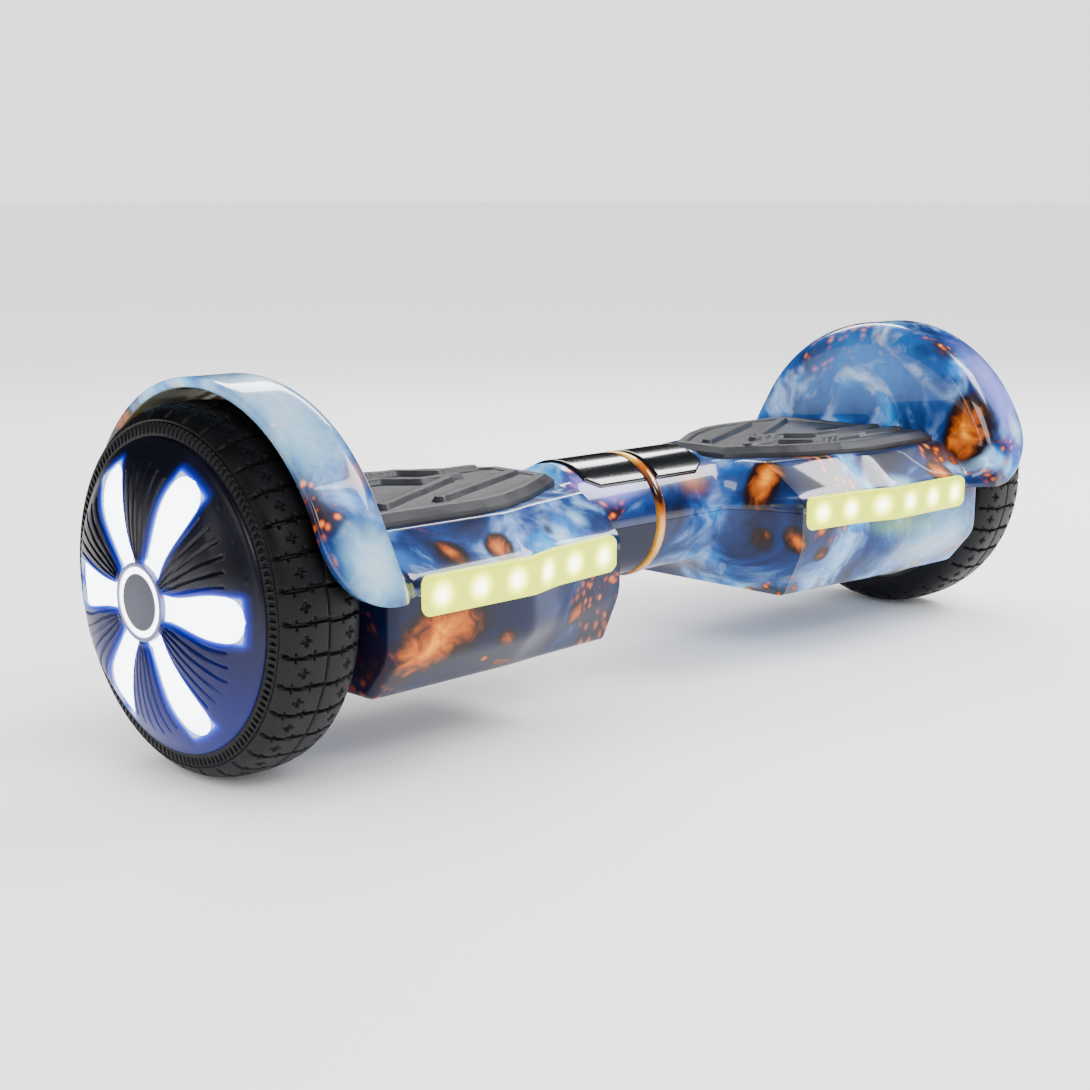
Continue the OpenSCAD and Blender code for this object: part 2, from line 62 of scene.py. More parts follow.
# ---- Sizes: the outer ones from the frame, the others as the parts have them ----
tyre_lo, tyre_hi = cad("right_tyre")
top_hi = cad("right_top_shell")[1]
base_lo, base_hi = cad("right_bottom_shell")
pad_lo, pad_hi = cad("right_foot_pad")
lens_lo, lens_hi = cad("right_light_lens")
cover_lo, cover_hi = cad("right_wheel_cover")
badge_hi = cad("right_wheel_badge")[1]
collar_lo, collar_hi = cad("collar_ring")

TYRE_R = (tyre_hi[2] - tyre_lo[2]) / 2
AXLE_Z = (tyre_hi[2] + tyre_lo[2]) / 2
TYRE_MID = (tyre_lo[0] + tyre_hi[0]) / 2
TYRE_HALF = (tyre_hi[0] - tyre_lo[0]) / 2
FENDER_R = top_hi[2] - AXLE_Z
FENDER_X = top_hi[0]
FENDER_T = 4.8
# Radius that the fender's lip is rounded with down to the seam
FENDER_CORNER = 34.0
BODY_X = base_hi[0]
BODY_Y = base_hi[1]
FLOOR_Z = base_lo[2]
SEAM_Z = base_hi[2]
SEAM_GAP = 0.25
DECK_Z = pad_lo[2] + 0.4
INNER_X = 74.0
# The body's outline bends at these places along X: its inner end, both ends of the step and its outer end
STATIONS = [INNER_X, 119.0, 141.0, BODY_X]
# The sleeve round the pivot tube, and how far its underside lies above the belly
SLEEVE_RISE = 15.0
SLEEVE_R = SEAM_Z - FLOOR_Z - SLEEVE_RISE
SLEEVE_END = 50.0
TUBE_BORE = 21.5
# Wall of the lower shell and of the sleeve, and of the upper shell, which is thicker round the mat's pocket
WALL = 2.6
TOP_WALL = 4.6
HUB_HOLE = 22.0


# ---- Mesh helpers ----
def lerp(a, b, t):
    """Point on the straight line from a to b at the share t."""
    return a + (b - a) * t

def smooth(t):
    """S-curve from 0 to 1 that starts and ends level: three t squared minus two t cubed."""
    return t * t * (3 - 2 * t)


def eased(x, places, values, reach=3.0):
    """A chain of straight lines through the places, averaged over reach to each side to round its corners."""
    return np.mean([np.interp(x + d, places, values) for d in np.linspace(-reach, reach, 7)], axis=0)


def quads(rows, cols, wrap_rows=False, wrap_cols=False):
    """Faces between the neighbours of a rows by cols grid of points, four indices each."""
    i = np.arange(rows if wrap_rows else rows - 1)[:, None]
    j = np.arange(cols if wrap_cols else cols - 1)[None, :]
    below, right = (i + 1) % rows, (j + 1) % cols
    corners = [i * cols + j, below * cols + j, below * cols + right, i * cols + right]
    return np.stack(np.broadcast_arrays(*corners), -1).reshape(-1, 4).tolist()


def mesh_of(name, points, faces, side=1):
    """Mesh in metres from points in millimetres, mirrored for side -1, with doubles merged and normals outwards."""
    mesh = bpy.data.meshes.new(name)
    mesh.from_pydata((points.reshape(-1, 3) * (side * MM, MM, MM)).tolist(), [], faces)
    work = bmesh.new()
    work.from_mesh(mesh)
    bmesh.ops.remove_doubles(work, verts=work.verts, dist=1e-6)
    bmesh.ops.dissolve_degenerate(work, edges=work.edges, dist=1e-7)
    bmesh.ops.recalc_face_normals(work, faces=work.faces)
    work.to_mesh(mesh)
    work.free()
    return mesh


def place(name, mesh, crease, body, material, replaced):
    """The finished piece, smooth but for edges sharper than crease degrees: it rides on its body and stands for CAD
    nodes."""
    mesh.polygons.foreach_set("use_smooth", np.ones(len(mesh.polygons), dtype=bool))
    mesh.set_sharp_from_angle(angle=np.radians(crease))
    obj = bpy.data.objects.new(name, mesh)
    bpy.context.scene.collection.objects.link(obj)
    mesh.materials.clear()
    mesh.materials.append(material)
    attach(obj, body)
    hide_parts(*replaced)
    return obj


def ring_loft(rings):
    """Faces of a closed solid whose outlines follow each other in a loop, with a flat cap at both of their ends."""
    rows, cols = rings.shape[:2]
    first = np.arange(rows) * cols
    return quads(rows, cols, wrap_rows=True) + [first.tolist(), (first + cols - 1).tolist()]


def slab(front, back):
    """Closed solid between a front grid and a back grid whose outer columns match."""
    points = np.concatenate([front, back[:, ::-1]], axis=1)
    rows, cols = points.shape[:2]
    ends = [list(range(cols)), list(range((rows - 1) * cols, rows * cols))]
    return points, quads(rows, cols, wrap_cols=True) + ends


def drilled(mesh, cutters):
    """The mesh with closed cutter meshes taken away by an exact boolean."""
    obj = bpy.data.objects.new("drilled", mesh)
    bpy.context.scene.collection.objects.link(obj)
    tools = []
    for cutter in cutters:
        tool = bpy.data.objects.new("cutter", cutter)
        bpy.context.scene.collection.objects.link(tool)
        step = obj.modifiers.new("cut", "BOOLEAN")
        step.operation, step.solver, step.object = "DIFFERENCE", "EXACT", tool
        tools.append(tool)
    bpy.context.view_layer.update()
    result = bpy.data.meshes.new_from_object(obj.evaluated_get(bpy.context.evaluated_depsgraph_get()))
    for spare in [obj, *tools]:
        bpy.data.objects.remove(spare)
    return result


def prism(outline, low, high, axis=2, side=1):
    """Closed cutter with the outline as its two ends, between two places along the axis."""
    count = len(outline)
    ends = [np.insert(outline, axis, at, axis=1) for at in (low, high)]
    faces = quads(2, count, wrap_cols=True) + [list(range(count)), list(range(count, 2 * count))]
    return mesh_of("cutter", np.array(ends), faces, side)


def circle(x, y, r, count=32):
    """Points round a circle."""
    a = np.linspace(0, 2 * np.pi, count, endpoint=False)
    return np.stack([x + r * np.cos(a), y + r * np.sin(a)], -1)


def turned(xs, radii, count, centre_z):
    """Grid of a profile (places along X and radii) turned in count steps round an axis along X."""
    a = np.linspace(0, 2 * np.pi, count, endpoint=False)[:, None]
    x, r = np.broadcast_arrays(xs[None, :], np.asarray(radii)[None, :] + 0 * a)
    return np.stack([x, r * np.sin(a), centre_z + r * np.cos(a)], -1)


# ---- Materials ----
def linear(code, alpha=1.0):
    """sRGB hex to linear: each channel c becomes c/12.92 below 0.04045, else ((c+0.055)/1.055) to the 2.4."""
    c = np.array([int(code[i:i + 2], 16) for i in (1, 3, 5)]) / 255
    return (*np.where(c <= 0.04045, c / 12.92, ((c + 0.055) / 1.055) ** 2.4).tolist(), alpha)


def add(tree, kind, inputs=None, **settings):
    """One node with its settings, and its inputs set to values or linked to sockets."""
    node = tree.nodes.new("ShaderNode" + kind)
    for key, value in settings.items():
        setattr(node, key, value)
    for key, value in (inputs or {}).items():
        if isinstance(value, bpy.types.NodeSocket):
            tree.links.new(value, node.inputs[key])
        else:
            node.inputs[key].default_value = value
    return node


def ramp(tree, factor, stops, mode="LINEAR"):
    """Colour ramp through (place, hex) stops."""
    node = add(tree, "ValToRGB", {"Fac": factor})
    node.color_ramp.interpolation = mode
    marks = node.color_ramp.elements
    while len(marks) < len(stops):
        marks.new(0.5)
    for mark, (spot, code) in zip(marks, stops):
        mark.position = spot
        mark.color = linear(code)
    return node.outputs["Color"]


def blank(name, **constants):
    """A new material, its tree, and its shader with constants set on their sockets; _ stands for a space."""
    material = bpy.data.materials.new(name)
    material.use_nodes = True
    tree = material.node_tree
    tree.nodes.clear()
    shader = add(tree, "BsdfPrincipled", {key.replace("_", " "): value for key, value in constants.items()})
    add(tree, "OutputMaterial", {"Surface": shader.outputs[0]})
    return material, tree, shader


def from_axle(tree, axes):
    """Distance from the wheels' axle in metres, from a node that separates the object's coordinates."""
    high = add(tree, "Math", {0: axes.outputs[2], 1: AXLE_Z * MM}, operation="SUBTRACT").outputs[0]
    flat = add(tree, "CombineXYZ", {0: axes.outputs[1], 1: high}).outputs[0]
    return add(tree, "VectorMath", {0: flat}, operation="LENGTH").outputs["Value"]


def finish(name, dark, light, rough, grain_mm, bump=0.1, metal=0.0, coat=0.0, rough_spread=0.12, mirror=0.5):
    """A plain moulded, cast or plated finish: colour and roughness drift slowly between two values, over a fine
    grain of grain_mm millimetres."""
    material, tree, shader = blank(name, Metallic=metal, Coat_Weight=coat, Specular_IOR_Level=mirror)
    spot = add(tree, "TexCoord").outputs["Object"]
    grain = add(tree, "TexNoise", {"Vector": spot, "Scale": 1 / (grain_mm * MM), "Detail": 3.0})
    drift = add(tree, "TexNoise", {"Vector": spot, "Scale": 1 / (18 * grain_mm * MM), "Detail": 2.0})
    colour = ramp(tree, drift.outputs["Fac"], [(0.35, dark), (0.65, light)])
    tree.links.new(colour, shader.inputs["Base Color"])
    level = add(tree, "MapRange", {"Value": drift.outputs["Fac"], "From Min": 0.3, "From Max": 0.7,
                                   "To Min": rough - rough_spread / 2, "To Max": rough + rough_spread / 2})
    tree.links.new(level.outputs[0], shader.inputs["Roughness"])
    relief = add(tree, "Bump", {"Height": grain.outputs["Fac"], "Strength": bump, "Distance": grain_mm * MM * 0.3})
    tree.links.new(relief.outputs[0], shader.inputs["Normal"])
    return material


# What is laid one by one on the film: where it reaches its full strength (1 is its rim), how strong that is,
# and its colours from the middle outwards
PAINTS = {
    "flame": (0.72, 1.0, [(0.0, "#ee9408"), (0.2, "#c06000"), (0.42, "#8c3e04"), (0.58, "#4c2008"),
                          (0.70, "#1c0c0a"), (1.0, "#0c0a1e")]),
    "ice": (0.2, 0.62, [(0.0, "#d6eefb"), (0.45, "#8fcaf0"), (0.75, "#4496dc"), (1.0, "#1c62b4")]),
    "blue": (0.35, 0.9, [(0.0, "#1e78c2"), (0.6, "#105ca6"), (1.0, "#0e468c")]),
    "night": (0.3, 0.72, [(0.0, "#0a0a22"), (0.6, "#0b1236"), (1.0, "#0e1f4e")]),
    "mauve": (0.35, 0.9, [(0.0, "#8d88dc"), (0.6, "#5e60b8"), (1.0, "#343c94")]),
    "amber": (0.1, 0.8, [(0.0, "#b06a3a"), (0.6, "#6f4636"), (1.0, "#4a5680")]),
    # The next wash is painted light: the greenish glow of the light strip's light on the shell beside it, not print
    "green": (0.1, 0.5, [(0.0, "#7fae5e"), (0.6, "#5d9480"), (1.0, "#3f7fae")])}


def printed_film(name, icy, spots, pools, gloss=1.0):
    """Hydrographic film: a printed picture wrapped on moulded ABS under clear lacquer. It gives the eye soft blue
    smoke with white feathers, dark pools with orange bubbles and large glowing flames, all under one deep gloss.
    icy lifts the blues to white, spots are (centre mm, radii mm, paint, tilt in degrees), pools says how much of it
    is dark, and gloss is how much lacquer covers it. Some spots are painted light, not print: a painted glow of the
    light strips on the shell beside them, and one painted reflection of a soft box."""
    material, tree, shader = blank(name, Roughness=0.3, Specular_IOR_Level=0.2, Coat_Weight=gloss,
                                   Coat_IOR=1.36, Coat_Roughness=0.04)
    spot = add(tree, "TexCoord").outputs["Object"]
    swirl = add(tree, "TexNoise", {"Vector": spot, "Scale": 12.0, "Detail": 2.0, "Roughness": 0.5})
    shift = add(tree, "VectorMath", {0: swirl.outputs["Color"], 1: (0.5, 0.5, 0.5)},
                operation="SUBTRACT").outputs[0]
    bent = add(tree, "VectorMath", {0: shift, 1: (0.07, 0.07, 0.07), 2: spot}, operation="MULTIPLY_ADD").outputs[0]
    smoke = add(tree, "TexNoise", {"Vector": bent, "Scale": 15.0, "Detail": 7.0, "Roughness": 0.56,
                                   "Distortion": 0.8}).outputs["Fac"]
    lift = add(tree, "Math", {0: smoke, 1: icy}, operation="ADD").outputs[0]
    colour = ramp(tree, lift, [(0.34, "#070c26"), (0.43, "#0b2356"), (0.50, "#0b468c"), (0.56, "#0a72c0"),
                               (0.62, "#38a2e2"), (0.69, "#94d8f6"), (0.78, "#f0faff")])
    # Feathers: soft white strands along the middle value of a finer noise, only in the lighter smoke
    strand = add(tree, "TexNoise", {"Vector": bent, "Scale": 30.0, "Detail": 3.0, "Roughness": 0.55,
                                    "Distortion": 0.5})
    middle = add(tree, "Math", {0: strand.outputs["Fac"], 1: 0.5}, operation="SUBTRACT").outputs[0]
    edge = add(tree, "Math", {0: middle}, operation="ABSOLUTE").outputs[0]
    wisp = add(tree, "MapRange", {"Value": edge, "From Max": 0.11, "To Min": 0.42, "To Max": 0.0},
               interpolation_type="SMOOTHSTEP").outputs[0]
    region = add(tree, "MapRange", {"Value": lift, "From Min": 0.46, "From Max": 0.62}).outputs[0]
    wisp = add(tree, "Math", {0: wisp, 1: region}, operation="MULTIPLY").outputs[0]
    colour = add(tree, "Mix", {0: wisp, 6: colour, 7: linear("#dff3ff")}, data_type="RGBA").outputs[2]
    # Dark pools, brown towards the middle, where clusters of small orange bubbles sit
    herd = add(tree, "TexNoise", {"Vector": bent, "Scale": 17.0, "Detail": 2.0}).outputs["Fac"]
    pool = add(tree, "MapRange", {"Value": herd, "From Min": 0.58 - pools, "From Max": 0.68 - pools,
                                  "To Max": 0.92}, interpolation_type="SMOOTHSTEP").outputs[0]
    murk = ramp(tree, herd, [(0.58 - pools, "#0c1038"), (0.66 - pools, "#1e0e0c")])
    colour = add(tree, "Mix", {0: pool, 6: colour, 7: murk}, data_type="RGBA").outputs[2]
    cells = add(tree, "TexVoronoi", {"Vector": bent, "Scale": 170.0, "Randomness": 1.0})
    bubble = ramp(tree, cells.outputs["Distance"], [(0.0, "#f0a030"), (0.25, "#b85208"), (0.42, "#4c1a0a")])
    small = add(tree, "MapRange", {"Value": cells.outputs["Distance"],
                                   "From Min": 0.55, "From Max": 0.38}).outputs[0]
    few = add(tree, "MapRange", {"Value": herd, "From Min": 0.61 - pools, "From Max": 0.65 - pools}).outputs[0]
    small = add(tree, "Math", {0: few, 1: small}, operation="MULTIPLY").outputs[0]
    colour = add(tree, "Mix", {0: small, 6: colour, 7: bubble}, data_type="RGBA").outputs[2]
    # Flames and washes laid one by one, on a gentler warp so that each stays in its place
    near_bent = add(tree, "VectorMath", {0: shift, 1: (0.03, 0.03, 0.03), 2: spot},
                    operation="MULTIPLY_ADD").outputs[0]
    fibre = add(tree, "TexNoise", {"Vector": near_bent, "Scale": 90.0, "Detail": 3.0,
                                   "Distortion": 1.0}).outputs["Fac"]
    # Some of these spots are painted light: greenish washes beside the light strips, and one white wash that is a
    # painted reflection
    for centre, radii, kind, *tilt in spots:
        soft, most, colours = PAINTS[kind]
        near = add(tree, "Mapping", {"Vector": near_bent, "Location": [MM * c for c in centre],
                                     "Rotation": (0, -np.radians(tilt[0] if tilt else 0), 0),
                                     "Scale": [MM * r for r in radii]}, vector_type="TEXTURE").outputs[0]
        far = add(tree, "VectorMath", {0: near}, operation="LENGTH").outputs["Value"]
        # Fine fibres make the rim ragged, and run as streaks through the colours
        ragged = add(tree, "Math", {0: fibre, 1: 0.24, 2: far}, operation="MULTIPLY_ADD").outputs[0]
        far = add(tree, "Math", {0: ragged, 1: 0.12}, operation="SUBTRACT").outputs[0]
        mask = add(tree, "MapRange", {"Value": far, "From Min": 1.0, "From Max": soft, "To Max": most},
                   interpolation_type="SMOOTHSTEP").outputs[0]
        streak = 0.9 if kind == "flame" else 0.3
        streaky = add(tree, "Math", {0: fibre, 1: streak, 2: far}, operation="MULTIPLY_ADD").outputs[0]
        streaky = add(tree, "Math", {0: streaky, 1: streak / 2}, operation="SUBTRACT").outputs[0]
        paint = ramp(tree, streaky, colours)
        if kind in ("ice", "blue"):
            veil = add(tree, "MapRange", {"Value": smoke, "From Min": 0.45, "From Max": 0.7,
                                          "To Max": 0.7}).outputs[0]
            paint = add(tree, "Mix", {0: veil, 6: paint, 7: colour}, data_type="RGBA").outputs[2]
            paint = add(tree, "Mix", {0: wisp, 6: paint, 7: linear("#f0faff")}, data_type="RGBA").outputs[2]
        colour = add(tree, "Mix", {0: mask, 6: colour, 7: paint}, data_type="RGBA").outputs[2]
    # Under the fender the film is stretched to olive with rusty streaks
    axes = add(tree, "SeparateXYZ", {0: spot})
    away = add(tree, "Math", {0: axes.outputs[0]}, operation="ABSOLUTE").outputs[0]
    beyond = add(tree, "Math", {0: away, 1: (BODY_X + 3.2) * MM}, operation="GREATER_THAN").outputs[0]
    inner = (FENDER_R - 0.9 * FENDER_T) * MM
    under = add(tree, "Math", {0: from_axle(tree, axes), 1: inner}, operation="LESS_THAN").outputs[0]
    under = add(tree, "Math", {0: under, 1: beyond}, operation="MULTIPLY").outputs[0]
    olive = ramp(tree, smoke, [(0.36, "#8a3f10"), (0.45, "#7d6a48"), (0.56, "#8f8c68"), (0.7, "#6c7f80")])
    colour = add(tree, "Mix", {0: under, 6: colour, 7: olive}, data_type="RGBA").outputs[2]
    tree.links.new(colour, shader.inputs["Base Color"])
    return material


# ---- Shell sections ----
def half_section(a, b, c, cut_b, cut_c):
    """From the seam a up the side to the edge b and over the slope to the deck's edge c, both edges rounded by a
    quadratic curve that starts cut before the corner. a, b and c hold (y, z) for all places along x."""
    def along(p, q, dist):
        gap = np.linalg.norm(q - p, axis=-1, keepdims=True)
        return p + (q - p) * (dist / gap)
    b0, b1, c0 = along(b, a, cut_b), along(b, c, cut_b), along(c, b, cut_c)
    c1 = c + np.array([np.sign(-c[:1, 0]) * cut_c, [0.0]]).reshape(1, 2)

    def curve(p, q, r, t):
        t = t[None, :, None]
        return p[:, None] * (1 - t) ** 2 + 2 * q[:, None] * t * (1 - t) + r[:, None] * t ** 2
    side_t = np.linspace(0, 1, 8, endpoint=False) ** 1.6
    bend_t = np.linspace(0, 1, 5)
    slope_t = np.linspace(0, 1, 8, endpoint=False)[1:]
    return np.concatenate([
        curve(a, (a + b0) / 2, b0, side_t), curve(b0, b, b1, bend_t),
        curve(b1, (b1 + c0) / 2, c0, slope_t), curve(c0, c, c1, bend_t)], axis=1)


def body_side(x):
    """Half width of the body: narrow at the inner end, then a step out to its full width."""
    return eased(x, STATIONS, [BODY_Y - 12, BODY_Y - 7, BODY_Y, BODY_Y])


def section(x, upper, inset=0.0):
    """Points (y, z) of the shell at the places x, from the front seam over the deck (or under the belly) to the
    rear seam. The flat middle is spaced evenly in angle as seen from the axle."""
    side = body_side(x) - inset
    if upper:
        edge = np.full_like(x, DECK_Z - 18 - inset / 3)
        flat = eased(x, STATIONS, [44, 54, 61, 60]) - 0.6 * inset
        level, seam = np.full_like(x, DECK_Z - inset), SEAM_Z + SEAM_GAP / 2
        cuts = (5.0, 2.2)
    else:
        edge = eased(x, STATIONS, [FLOOR_Z + 26, FLOOR_Z + 22, FLOOR_Z + 20, FLOOR_Z + 20]) + inset / 3
        flat = eased(x, STATIONS, [59, 62, 64, 66]) - 0.6 * inset
        level, seam = np.full_like(x, FLOOR_Z + inset), SEAM_Z - SEAM_GAP / 2
        cuts = (6.0, 3.0)
    corners = ((side, np.full_like(x, seam)), (side, edge), (flat, level))
    front = half_section(*(np.stack([-y, z], -1) for y, z in corners), *cuts)
    reach = abs(level[0] - AXLE_Z)
    widest = np.arctan2(-front[:, -1, 0], reach)
    angles = widest[:, None] * np.linspace(-1, 1, 49)[None, 1:-1]
    middle = np.stack([reach * np.tan(angles), np.broadcast_to(level[:, None], angles.shape)], -1)
    return np.concatenate([front, middle, front[:, ::-1] * (-1, 1)], axis=1)


def arc(angles, r, centre_z, upper):
    """Circle points at the angles, turned a little so that both ends lie exactly on the seam."""
    sign = 1 if upper else -1
    seam = SEAM_Z + sign * SEAM_GAP / 2
    widest = np.arccos(np.clip(sign * (seam - centre_z) / r, -1, 1))
    turned_to = angles / np.abs(angles).max() * widest
    return np.stack([r * np.sin(turned_to), centre_z + sign * r * np.cos(turned_to)], -1)


def rows_at(xs, profile):
    """The same (y, z) profile repeated at the places xs; xs may differ for each point."""
    xs = np.broadcast_to(np.asarray(xs, float).reshape(len(xs), -1), (len(xs), len(profile)))
    return np.concatenate([xs[..., None], np.broadcast_to(profile, (len(xs), *profile.shape))], axis=-1)


def sleeve_and_body(upper, start, last_x):
    """Outer rows from the middle of the board: the round sleeve, the scooped shoulder and the body up to last_x."""
    profile = section(np.array([INNER_X]), upper)[0]
    sign = 1 if upper else -1
    # Each point keeps its angle about the pivot from the body's outline to the sleeve's circle
    angles = np.arctan2(profile[:, 0], sign * (profile[:, 1] - SEAM_Z))
    ring = arc(angles, SLEEVE_R, SEAM_Z, upper)
    sleeve = rows_at(np.array([start, start + 0.8, 12, 30, SLEEVE_END - 1, SLEEVE_END]), ring)
    sleeve[0, :, 1:] = arc(angles, SLEEVE_R - 0.8, SEAM_Z, upper)
    t = np.linspace(0, 1, 17)[1:]
    spread = (t ** 1.7)[:, None, None]
    scoop_x = lerp(SLEEVE_END, INNER_X - 2, t)[:, None, None]
    blend = np.concatenate([np.broadcast_to(scoop_x, (len(t), len(profile), 1)), lerp(ring, profile, spread)], -1)
    if upper:
        drop = np.interp(blend[:, :1, 0], [SLEEVE_END + 0.5, SLEEVE_END + 4], [SEAM_Z + SLEEVE_R, DECK_Z])
        blend[..., 2] = np.minimum(blend[..., 2], drop)
    body_x = np.concatenate([np.linspace(INNER_X, 148, 34), np.linspace(152, last_x, 16)])
    outside = section(body_x, upper)
    body = np.concatenate([np.broadcast_to(body_x[:, None, None], (*outside.shape[:2], 1)), outside], -1)
    return np.concatenate([sleeve, blend, body]), angles


def hollow(upper, start, end_x, inset, angles):
    """Inner rows back from end_x to the middle: the body's hollow, the bore round the tube and the sleeve's bore."""
    xs = np.linspace(end_x, INNER_X + 3, 10)
    inside = section(xs, upper, inset)
    back = np.concatenate([np.broadcast_to(xs[:, None, None], (*inside.shape[:2], 1)), inside], -1)
    tube = rows_at(np.array([64.0, SLEEVE_END]), arc(angles, TUBE_BORE, SEAM_Z, upper))
    bore = rows_at(np.array([SLEEVE_END - 1, start]), arc(angles, SLEEVE_R - WALL, SEAM_Z, upper))
    return np.concatenate([back, tube, bore])


def top_shell_rings(start):
    """The upper shell: outside rows from the middle to the fender's lip, then inside rows back. Along each line
    from the body to the fender's ring, q is the climb through a fillet, a straight wall and a rounded shoulder."""
    outer, angles = sleeve_and_body(True, start, BODY_X)
    profile = section(np.array([BODY_X]), True)[0]
    around = np.arctan2(profile[:, 0], profile[:, 1] - AXLE_Z)
    ring = arc(around, FENDER_R, AXLE_Z, True)
    hub = arc(around, HUB_HOLE, AXLE_Z, True)
    climb = np.linalg.norm(ring - profile, axis=-1)
    toward = (ring - profile) / climb[:, None]
    shoulder = np.minimum(9.0, 0.5 * climb)
    fillet = np.minimum(10.0, climb - shoulder)

    # The body's last rows are drawn in so that the fillet can start, further near the seam than over the deck
    tail = np.clip((np.abs(around) - 1.05) / 0.45, 0, 1)
    reach = lerp(9.0, 15.0, tail ** 1.5)
    drawn_from = 170.0
    grown = np.clip((outer[..., 0] - drawn_from) / (BODY_X - drawn_from), 0, 1)
    outer[..., 0] -= grown * reach * (outer[..., 0] > drawn_from)

    def rows(x, q):
        return np.concatenate([x[..., None], profile + toward * q[..., None]], -1)

    # Near the seam the step to the fender is one long S-curve of x instead
    share = smooth(tail)
    x0, x1 = BODY_X - reach, BODY_X + 2.0

    def eased_in(x, q, run):
        soft_x = np.broadcast_to(lerp(x0, x1, run), x.shape)
        return rows(lerp(x, soft_x, share), lerp(q, climb * smooth(run), share))
    a = np.radians(np.linspace(0, 90, 9))[1:, None]
    corner = eased_in(BODY_X - reach * (1 - np.sin(a)), fillet * (1 - np.cos(a)), np.linspace(0, 0.6, 9)[1:, None])
    t = np.linspace(0, 1, 6)[1:, None]
    wall = eased_in(np.full((len(t), len(profile)), BODY_X), lerp(fillet, climb - shoulder, t),
                    np.linspace(0.6, 0.8, 6)[1:, None])

    # Over the wheel: the rounded shoulder, the crown and the lip, which is cut round below
    sunk = np.clip(SEAM_Z + FENDER_CORNER - ring[:, 1], 0, FENDER_CORNER)
    lip_x = FENDER_X - FENDER_CORNER + np.sqrt(FENDER_CORNER ** 2 - sunk ** 2)
    lip_r = 1.3
    t = np.linspace(0, 1, 18)[1:, None] ** 1.6
    x = BODY_X + (lip_x - lip_r - BODY_X) * t
    bow = np.clip(1 - (x - BODY_X) / 12.0, 0, 1)
    q = climb - shoulder * (1 - np.sqrt(1 - bow ** 2))
    run = np.minimum(np.linspace(0.8, 1.4, 18)[1:, None], 1.0)
    soft_x = np.where(run < 1, lerp(x0, x1, run), np.maximum(x, x1))
    # Rows that reach the lip there stay a hair apart
    hair = 0.02 * np.arange(len(t))[::-1, None] / len(t)
    soft_x = np.minimum(soft_x, lip_x - lip_r * (1 - hair))
    over = rows(lerp(x, soft_x, share), lerp(q, climb * smooth(run), share))
    a = np.radians([22, 45, 68, 90])[:, None]
    lip_out = rows(lip_x - lip_r * (1 - np.sin(a)), climb - lip_r * (1 - np.cos(a)))
    lip_in = rows(lip_x - lip_r * (1 - np.cos(a)), climb - FENDER_T + lip_r * (1 - np.sin(a)))

    # Back under the fender to the flat wall beside the tyre, and into the hub's hole
    wall_x = BODY_X + WALL
    t = np.linspace(1, 0, 14)[1:, None] ** 1.6
    x = wall_x + np.maximum(lip_x - lip_r - wall_x, 0.05) * t
    bow = np.clip(1 - (x - wall_x) / 9.0, 0, 1)
    under = rows(x, climb - FENDER_T - np.minimum(7.0, 0.4 * climb) * (1 - np.sqrt(1 - bow ** 2)))
    t = np.linspace(0, 1, 5)[1:, None, None]
    disc = lerp(under[-1][None], rows_at(np.array([wall_x]), hub), t)
    inner_x = BODY_X - 4.0
    neck = rows_at(np.array([inner_x]), hub)
    inside = hollow(True, start, inner_x, TOP_WALL, angles)
    return np.concatenate([outer, corner, wall, over, lip_out, lip_in, under, disc, neck, inside])


def bottom_shell_rings(start):
    """The lower shell: sleeve and body outside, a rounded outer end with the hub's hole, then the hollow inside."""
    turn = 5.0
    outer, angles = sleeve_and_body(False, start, BODY_X - turn)
    steps = [(turn * (1 - np.sin(a)), turn * (1 - np.cos(a))) for a in np.radians(np.linspace(0, 90, 7))[1:]]
    last = np.array([BODY_X])
    corner = np.concatenate([rows_at(last - back, section(last, False, inset)[0]) for back, inset in steps])
    hub = arc(angles, HUB_HOLE, AXLE_Z, False)
    t = np.linspace(0, 1, 5)[1:, None, None]
    disc = lerp(corner[-1][None], rows_at(last, hub), t)
    neck = rows_at(last - WALL, hub)
    inside = hollow(False, start, BODY_X - WALL, WALL, angles)
    return np.concatenate([outer, corner, disc, neck, inside])


# ---- Foot pad ----
PAD_SKIRT = 112.6
BAR_RISE = 1.5
PAD_FACE = pad_hi[2] - BAR_RISE
PAD_START = 66.0
PAD_END = 214.0
# Half of the mat's outline as (x, half width), and the middle lines of the raised bars
PAD_EDGE = np.array([[PAD_START, 20], [104, 43], [130, 54], [146, 57], [PAD_END, 56]], float)
BAR_W = 7.0
PAD_BARS = [[(192, -38), (118, 2)], [(160, -40), (80, -4)],
            [(206, 20), (146, 20), (132, 7), (108, 7)], [(206, 36), (122, 36), (108, 22), (84, 22)]]


def to_path(x, y, path):
    """Distance of each point from a chain of straight lines."""
    best = np.full(x.shape, 1e9)
    for (x0, y0), (x1, y1) in zip(path[:-1], path[1:]):
        run = np.clip(((x - x0) * (x1 - x0) + (y - y0) * (y1 - y0)) / ((x1 - x0) ** 2 + (y1 - y0) ** 2), 0, 1)
        best = np.minimum(best, np.hypot(x - x0 - run * (x1 - x0), y - y0 - run * (y1 - y0)))
    return best


